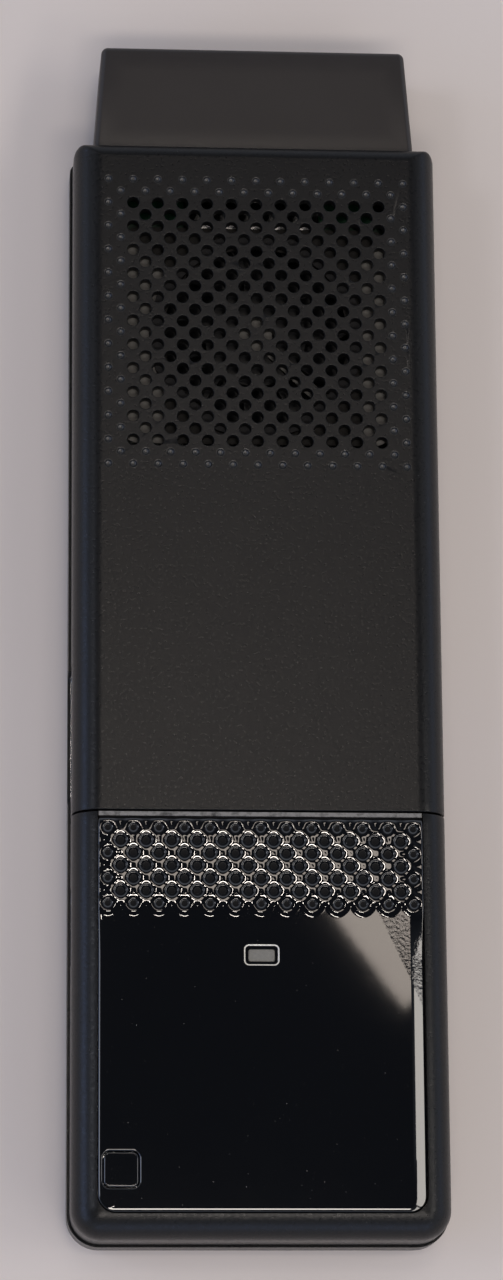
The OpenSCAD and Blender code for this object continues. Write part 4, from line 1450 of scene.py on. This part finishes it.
@dataclass
class GlossPanel:
    """The polished panel with its field of dimples.

    Attributes:
        half_width: half of its width.
        tail: Y of its rounded end.
        seam: Y of its square end.
        corner: radius of its two corners at the tail.
        z: its lowest and highest point.
        roll: reach of the sloped border along its left and right side.
        tail_roll: reach of that border at the tail.
        slope: slope of the border at its inner and outer edge.
        lip: radius of the outermost edge.
        seam_lip: width and drop of the narrow edge at the seam.
        seam_groove: width and drop of the groove behind it.
        seam_step: where the fall from that edge to the groove begins and ends, from where they meet.
        seam_roll: reach of the round behind the groove.
        pitch: spacing of the dimples in a row.
        field_y: Y of the middle of the field.
        rows: rows of dimples.
        count: dimples in a full row.
        dish: radius of the flat bottom and of the rim of the inner dimples.
        rim_dish: the same for the dimples round the border.
        deep: depth of the dimples' floors under their bowls.
        web: height of the crests between the dimples over the plain panel.
        swell: how much higher a crest is between four dimples than between two.
        bowl: depth of the bowls between the crests.
        skirt: reach of the crests round an inner dimple and round a border dimple, each with its fade.
        border_from: Y between which the sloped border fades in, from the dimples to the tail.
        step: size of the mesh over the dimples.
        plain_lines: lines of the mesh over the tail's border, and over the plain of the panel.
        lip_lines: lines over the outermost edge.
        seam_lines: lines over the narrow edge at the seam.
        seam_fine: width of that edge over which they lie.
        field_margin: how far past the outermost dimples the fine mesh reaches.
        crowd: how much closer together lines get towards an edge, and towards the seam.
        window: the status window.
        button: the power button.
    """

    half_width: float = 16.2
    tail: float = -53.8
    seam: float = -14.0
    corner: float = 1.8
    z: Pair = (11.1, 12.0)
    roll: Pair = (0.3, 1.4)
    tail_roll: float = 0.5
    slope: Pair = (0.26, 0.37)
    lip: float = 0.16
    seam_lip: Pair = (0.42, 0.1)
    seam_groove: Pair = (0.2, 0.26)
    seam_step: Pair = (-0.04, 0.06)
    seam_roll: float = 0.45
    pitch: float = 2.54
    field_y: float = -19.45
    rows: int = 7
    count: int = 13
    dish: Pair = (0.58, 0.68)
    rim_dish: Pair = (0.3, 0.48)
    deep: float = 0.07
    web: float = 0.08
    swell: float = 0.028
    bowl: float = 0.085
    skirt: tuple[Pair, Pair] = ((1.25, 0.3), (1.0, 0.34))
    border_from: Pair = (-23.6, -26.6)
    step: float = 0.067
    plain_lines: int = 14
    lip_lines: int = 4
    seam_lines: int = 6
    seam_fine: float = 0.3
    field_margin: float = 0.45
    crowd: Pair = (1.6, 1.8)
    window: StatusWindow = field(default_factory=StatusWindow)
    button: PowerButton = field(default_factory=PowerButton)

    def outline(self, grow: float, z: Pair, seam: float) -> BMesh:
        """Make the panel's plan as an upright block.

        Args:
            grow: how much larger it is on each side.
            z: its lowest and highest point.
            seam: Y of its square end.

        Returns:
            The closed block.
        """
        wide, tail = self.half_width + grow, self.tail - grow
        bm = block((-wide, tail, z[0]), (wide, seam, z[1]))

        def corner(edge: BMEdge) -> bool:
            """Tell whether an edge is one of the two upright ones at the tail."""
            return runs_along(edge, Axis.Z) and lies_at(edge, Axis.Y, tail)

        round_edges(bm, corner, self.corner + grow, steps=10)
        return bm

    def dimple(self, x: float, y: float) -> float:
        """Give the height of the dimple field at a point.

        Args:
            x: place across the panel.
            y: place along it.

        Returns:
            Height over the plain panel.
        """
        gap = self.pitch / 2
        row = (y - self.field_y) / gap
        half, side = (self.rows - 1) // 2, (self.count - 1) / 2
        clear = 1.2  # rows past the last one, where the crests have long faded out
        if abs(row) > half + clear:
            return 0.0
        land, bare = 1.0, 1.0
        for k in range(round(row) - 2, round(row) + 3):
            if abs(k) > half:
                continue
            shift = 0.0 if (k + half) % 2 == 0 else 0.5
            last = side - shift
            near = round(x / self.pitch - shift) + shift
            for a in (near - 1, near, near + 1):
                if abs(a) > last:
                    continue
                border = abs(k) == half or abs(a) == side
                far = math.hypot(x - a * self.pitch, y - self.field_y - k * gap)
                land *= ease(far, *(self.rim_dish if border else self.dish))
                reach, fade = self.skirt[border]
                bare *= ease(far, reach - fade, reach + fade)
        a, b = math.pi * x / self.pitch, math.pi * (y - self.field_y) / self.pitch
        swell = self.swell * math.cos(2 * a) * math.cos(2 * b)
        bowl = self.bowl * (math.sin(a + b) * math.sin(a - b)) ** 2
        return (self.web + swell - bowl) * (1 - bare) - self.deep * (1 - land)

    def surface(self, x: float, y: float) -> float:
        """Give the height of the panel's top over its plan.

        Args:
            x: place across the panel.
            y: place along it.

        Returns:
            The height.
        """
        inner = Vector((self.half_width - self.corner, self.tail + self.corner))
        side = self.roll[x > 0]
        if abs(x) > inner.x and y < inner.y:
            out = Vector((abs(x), y)) - inner
            edge, turn = self.corner - out.length, math.atan2(-out.y, out.x) / (math.pi / 2)
            reach = side + (self.tail_roll - side) * turn
        elif self.half_width - abs(x) < y - self.tail:
            edge, reach = self.half_width - abs(x), side
        else:
            edge, reach = y - self.tail, self.tail_roll
        drop = 0.0
        if edge < reach:
            past, fade = reach - edge, 1 - ease(y, self.border_from[1], self.border_from[0])
            drop += fade * (self.slope[0] * past + (self.slope[1] - self.slope[0]) * past**2 / (2 * reach))
        if edge < self.lip:
            drop += self.lip * rounded(edge / self.lip)
        return self.z[1] - drop - self.seam_drop(self.seam - y) + self.dimple(x, y)

    def seam_drop(self, off: float) -> float:
        """Give the drop of the top near the seam.

        Args:
            off: distance from the seam.

        Returns:
            The drop of the narrow edge, the groove or the round behind it.
        """
        (wide, lip), (gap, groove) = self.seam_lip, self.seam_groove
        if off < wide + gap:
            start, end = self.seam_step
            return lip + (groove - lip) * ease(off, wide + start, wide + end)
        return groove * rounded((off - wide - gap) / self.seam_roll)

    def sheet(self) -> BMesh:
        """Make the panel as a solid with its top finished.

        Returns:
            The closed panel.
        """
        wide, (at_edge, at_seam) = self.half_width, self.crowd
        fringe = [*graded(wide, wide - self.lip, self.lip_lines, at_edge), wide - self.lip]
        inside = wide - self.lip - self.step / 3
        plain = [x for x in graded(-wide, wide, round(2 * wide / self.step)) if abs(x) < inside]
        across = [*(-x for x in fringe), *plain, *reversed(fringe)]
        border, seam_low = self.tail + max(self.roll), self.seam - self.seam_fine
        field_low = self.field_y - self.pitch * 2 - self.field_margin
        lines = graded(self.tail, border, self.plain_lines, at_edge)
        lines += graded(border, field_low, self.plain_lines)
        lines += graded(field_low, seam_low, round((seam_low - field_low) / self.step))
        lines += [seam_low, *reversed(graded(self.seam, seam_low, self.seam_lines, at_seam))]
        inner = Vector((self.half_width - self.corner, self.tail + self.corner))

        def place(i: int, j: int) -> Vector:
            """Give a point of the top, with the square corner of the grid drawn round."""
            x, y = across[i], lines[j]
            if abs(x) > inner.x and y < inner.y:
                a, b = (abs(x) - inner.x) / self.corner, (inner.y - y) / self.corner
                out = max(a, b) * self.corner
                turn = math.pi / 4 * b / a if a >= b else math.pi / 2 - math.pi / 4 * a / b
                x = math.copysign(inner.x + out * math.cos(turn), x)
                y = inner.y - out * math.sin(turn)
            return Vector((x, y, self.surface(x, y)))

        bm = bmesh.new()
        lay_grid(bm, len(across) - 1, len(lines) - 1, place)
        rim = [e for e in bm.edges if e.is_boundary]
        made = bmesh.ops.extrude_edge_only(bm, edges=rim)["geom"]
        for vert in (g for g in made if isinstance(g, BMVert)):
            vert.co.z = self.z[0]
        bmesh.ops.edgeloop_fill(bm, edges=[e for e in bm.edges if e.is_boundary])
        bmesh.ops.recalc_face_normals(bm, faces=bm.faces)
        return bm

    def build(self, gloss: Material, clear: Material) -> None:
        """Make and place the panel, its window and its button.

        Args:
            gloss: finish of the panel and the button.
            clear: finish of the window.
        """
        top, window, button = self.z[1], self.window, self.button
        low = self.z[0] - OVER
        guide_way, button_way = window.way((low, top - window.frame_rim)), button.way((low, top - button.rim))
        raise_top(button_way, flare(top, button.rim))
        bm = carve(self.sheet(), window.recess(top), guide_way, button_way)
        field_low = self.field_y - self.pitch * 2
        turn = 0.05  # in radians, more than the flat of the panel turns anywhere

        def rim(edge: BMEdge) -> bool:
            """Tell whether an edge bounds the flat of the panel at an opening."""
            plain = all(v.co.y < field_low for v in edge.verts)
            return plain and lies_at(edge, Axis.Z, top) and edge.calc_face_angle(0.0) > turn

        fit(bm, Piece("gloss_top", ("gloss_panel",), Body.STICK, "panel_gloss"), gloss, rim)
        window.build(top, clear)
        button.build(top, gloss)


# ---------------------------------------------------------------------------------------------
# Cap and inner pieces
# ---------------------------------------------------------------------------------------------


@dataclass
class PlugCap:
    """The cap over the plug.

    Attributes:
        base: Y of its open end.
        tip: Y of its closed end.
        half_base: half of its width at the open end.
        half_tip: half of its width at the closed end.
        z: its lowest and highest point.
        edge: radius of its edges.
        mouth: radius of the edges at the open end.
        socket: width, height and middle height of the room for the plug.
        socket_corner: width of the slants at the room's lower corners.
        wall: thickness of its end wall.
        crown: how much lower its top is along the sides than in the middle.
        crown_reach: how far from the sides the top falls.
        crown_rings: rings of faces over which it falls.
    """

    base: float = 56.62
    tip: float = 67.9
    half_base: float = 16.7
    half_tip: float = 15.855
    z: Pair = (1.0, 9.8)
    edge: float = 0.6
    mouth: float = 0.2
    socket: Triple = (14.14, 4.69, 4.9)
    socket_corner: float = 1.6
    wall: float = 1.2
    crown: float = 0.3
    crown_reach: float = 2.6
    crown_rings: int = 6

    def round_top(self, bm: BMesh) -> None:
        """Let the top fall away towards its two sides.

        Args:
            bm: the cap with its edges rounded.
        """
        top = max(bm.faces, key=lambda f: f.calc_center_median().z)
        ring = self.crown_reach / self.crown_rings
        for _ in range(self.crown_rings):
            bmesh.ops.inset_region(bm, faces=[top], thickness=ring, use_even_offset=True)
        for vert in bm.verts:
            x, y, z = vert.co
            if z > self.z[1] - self.edge - NEAR:
                along = (y - self.base) / (self.tip - self.base)
                aside = self.half_base + (self.half_tip - self.half_base) * along - abs(x)
                vert.co.z -= self.crown * max(0.0, 1 - aside / self.crown_reach) ** 2

    def build(self, material: Material) -> None:
        """Make and place the cap.

        Args:
            material: its finish.
        """
        bm = block((-self.half_base, self.base, self.z[0]), (self.half_base, self.tip, self.z[1]))
        for vert in bm.verts:
            if vert.co.y > self.tip - NEAR:
                vert.co.x *= self.half_tip / self.half_base
        round_edges(bm, lambda e: not lies_at(e, Axis.Y, self.base), self.edge, steps=7)
        round_edges(bm, lambda e: lies_at(e, Axis.Y, self.base), self.mouth, steps=3)
        self.round_top(bm)
        w, h, z = self.socket
        low = z - h / 2
        room = block((-w / 2, self.base - OVER, low), (w / 2, self.tip - self.wall, z + h / 2))

        def lower(edge: BMEdge) -> bool:
            """Tell whether an edge lies along the room's floor."""
            return runs_along(edge, Axis.Y) and lies_at(edge, Axis.Z, low)

        round_edges(room, lower, self.socket_corner, steps=1)
        bm = carve(bm, room)
        fit(bm, Piece("plug_cap", ("hdmi_cap",), Body.CAP, "cap_plastic"), material)


@dataclass
class InnerParts:
    """The pieces that keep their solid and get a finish.

    Attributes:
        finishes: finish of each node.
    """

    finishes: dict[str, Finish] = field(
        default_factory=lambda: {
            "hdmi_shell": STEEL, "hdmi_insulator": NYLON, "hdmi_contacts": GOLD, "main_board": BOARD,
            "board_screws": SCREW, "processor": EPOXY, "thermal_pad": SILICONE, "heat_spreader": SPREADER,
            "cooling_fins": SPREADER, "fan_frame": FAN_FRAME, "fan_stator": COIL, "fan_rotor": FAN_ROTOR,
            "fan_cover": FAN_PLATE, "fan_gasket": FOAM, "memory_chips": EPOXY, "storage_chip": EPOXY,
            "wireless_module": SHIELD, "antennas": ANTENNA, "inductors": FERRITE, "usb3_shell": STEEL,
            "usb3_tongue": NYLON_BLUE, "usb3_contacts": GOLD, "usb2_shell": STEEL, "usb2_tongue": NYLON,
            "usb2_contacts": GOLD, "power_shell": STEEL, "power_tongue": NYLON, "card_socket": STEEL,
            "button_switch": SWITCH, "switch_plunger": NYLON_PALE, "status_led": LAMP,
        }
    )

    def dress(self) -> None:
        """Give every node its finish, one material for each kind."""
        made: dict[str, Material] = {}
        for node, finish in self.finishes.items():
            material = made.get(finish.name) or made.setdefault(finish.name, finish.make())
            mesh = frame["nodes"][node].data
            mesh.materials.clear()
            mesh.materials.append(material)
            LOG.info("%s: %s", node, finish.name)


# ---------------------------------------------------------------------------------------------
# Studio
# ---------------------------------------------------------------------------------------------


@dataclass(frozen=True)
class SoftLight:
    """A flat soft light that points at the object.

    Attributes:
        name: its name.
        place: where it stands, in metres.
        size: its width and height in metres.
        power: its power in watts.
        colour: its colour, as sRGB hex.
        turn: its turn in degrees where it hangs level, or none where it faces the object.
    """

    name: str
    place: Triple
    size: Pair
    power: float
    colour: str
    turn: float | None = None

    def hang(self, target: Vector) -> None:
        """Set the light up.

        Args:
            target: point that it faces.
        """
        lamp = bpy.data.lights.new(self.name, "AREA")
        lamp.shape, lamp.size, lamp.size_y = "RECTANGLE", *self.size
        lamp.energy, lamp.color = self.power, linear(self.colour)[:3]
        made = bpy.data.objects.new(self.name, lamp)
        made.location = self.place
        if self.turn is None:
            made.rotation_euler = (target - made.location).to_track_quat("-Z", "Y").to_euler()
        else:
            made.rotation_euler.z = math.radians(self.turn)
        bpy.context.scene.collection.objects.link(made)


@dataclass
class Studio:
    """The pale floor, the soft lights and the camera.

    Attributes:
        floor_size: half of the floor's width in metres.
        floor_faces: faces along each of its sides.
        horizon: colour of the room at eye level.
        zenith: colour of the room overhead.
        room_strength: strength of that light.
        room_fade: heights between which the first goes over to the second, as sines.
        camera_place: where the camera stands, in metres.
        camera_turn: its turn about X, Y and Z in degrees.
        lens: its focal length in millimetres.
        sensor: width of its sensor in millimetres.
        nearest: how near it still sees, in metres.
        aim: point that the lights face, in metres.
        lights: the soft lights.
    """

    floor_size: float = 2.5
    floor_faces: int = 8
    horizon: str = "#dfe6f5"
    zenith: str = "#3a3f49"
    room_strength: float = 0.78
    room_fade: Pair = (0.3, 0.95)
    camera_place: Triple = (-0.03197, -0.09686, 0.42552)
    camera_turn: Triple = (13.651, -4.215, -0.396)
    lens: float = 119.24
    sensor: float = 36.0
    nearest: float = 0.01
    aim: Triple = (0.0, 0.0, 0.01)
    lights: tuple[SoftLight, ...] = (
        SoftLight("overhead_tail", (0.05, 0.011, 1.189), (0.15, 0.05), 0.85, "#fff4ea", 0.0),
        SoftLight("overhead_left", (-0.036, 0.193, 1.189), (0.038, 0.075), 0.35, "#fff4ea", 0.0),
        SoftLight("overhead_corner", (0.1097, 0.2864, 1.189), (0.1075, 0.2687), 0.335, "#fff1e4", 35.9),
        SoftLight("behind_tail", (0.05, -0.55, 1.1), (0.6, 0.14), 2.9, "#fff6ee"),
        SoftLight("window_right", (0.6, -0.067, 0.66), (0.35, 0.15), 0.83, "#fff8f0"),
        SoftLight("window_corner", (0.46, -0.42, 0.66), (0.3, 0.12), 0.5, "#fff8f0"),
        SoftLight("window_left", (-0.7, 0.1, 0.95), (0.3, 0.2), 0.87, "#eef2ff"),
        SoftLight("low_left", (-0.9, -0.15, 0.32), (0.9, 0.3), 2.0, "#9db8f5"),
        SoftLight("low_tail", (0.1, -1.0, 0.3), (1.0, 0.3), 0.9, "#9db8f5"),
        SoftLight("low_right", (0.9, 0.1, 0.25), (0.8, 0.2), 0.25, "#9db8f5"),
    )

    def room(self) -> World:
        """Make the light of the room, bright at eye level and dim overhead.

        Returns:
            The world.
        """
        world = bpy.data.worlds.new("soft_room")
        world.use_nodes = True
        tree = world.node_tree
        back = tree.nodes["Background"]
        back.inputs["Strength"].default_value = self.room_strength
        way = add_node(tree, "ShaderNodeTexCoord").outputs["Generated"]
        up = add_node(tree, "ShaderNodeSeparateXYZ", {0: way}).outputs["Z"]
        fade = ramp(tree, up, self.room_fade, soft=True)
        tree.links.new(lay_over(tree, fade, linear(self.horizon), self.zenith), back.inputs["Color"])
        return world

    def floor(self, material: Material) -> None:
        """Lay the floor.

        Args:
            material: its finish.
        """
        bm = bmesh.new()
        count = self.floor_faces
        bmesh.ops.create_grid(bm, x_segments=count, y_segments=count, size=self.floor_size)
        made = as_object(bm, "floor")
        made.data.materials.append(material)

    def camera(self) -> None:
        """Set the camera at the photograph's angle."""
        lens = bpy.data.cameras.new("camera")
        lens.lens, lens.sensor_width, lens.clip_start = self.lens, self.sensor, self.nearest
        made = bpy.data.objects.new("camera", lens)
        made.location = self.camera_place
        made.rotation_euler = [math.radians(a) for a in self.camera_turn]
        bpy.context.scene.collection.objects.link(made)
        bpy.context.scene.camera = made

    def build(self) -> None:
        """Set up the floor, the lights and the camera."""
        scene = bpy.context.scene
        scene.view_settings.view_transform = "Standard"
        scene.world = self.room()
        self.floor(PAPER.make())
        for light in self.lights:
            light.hang(Vector(self.aim))
        self.camera()


def main() -> None:
    """Build the studio and every piece in order."""
    logging.basicConfig(level=logging.INFO, format="%(name)s: %(message)s")
    Studio().build()
    case, gloss = CASE.make(), GLOSS.make()
    openings, panel = Openings(), GlossPanel()
    FrontCover().build(openings, case)
    TailCover().build(openings, panel, case)
    LowerCover().build(case)
    panel.build(gloss, WINDOW.make())
    PlugCap().build(CAP.make())
    InnerParts().dress()


if __name__ == "__main__":
    main()
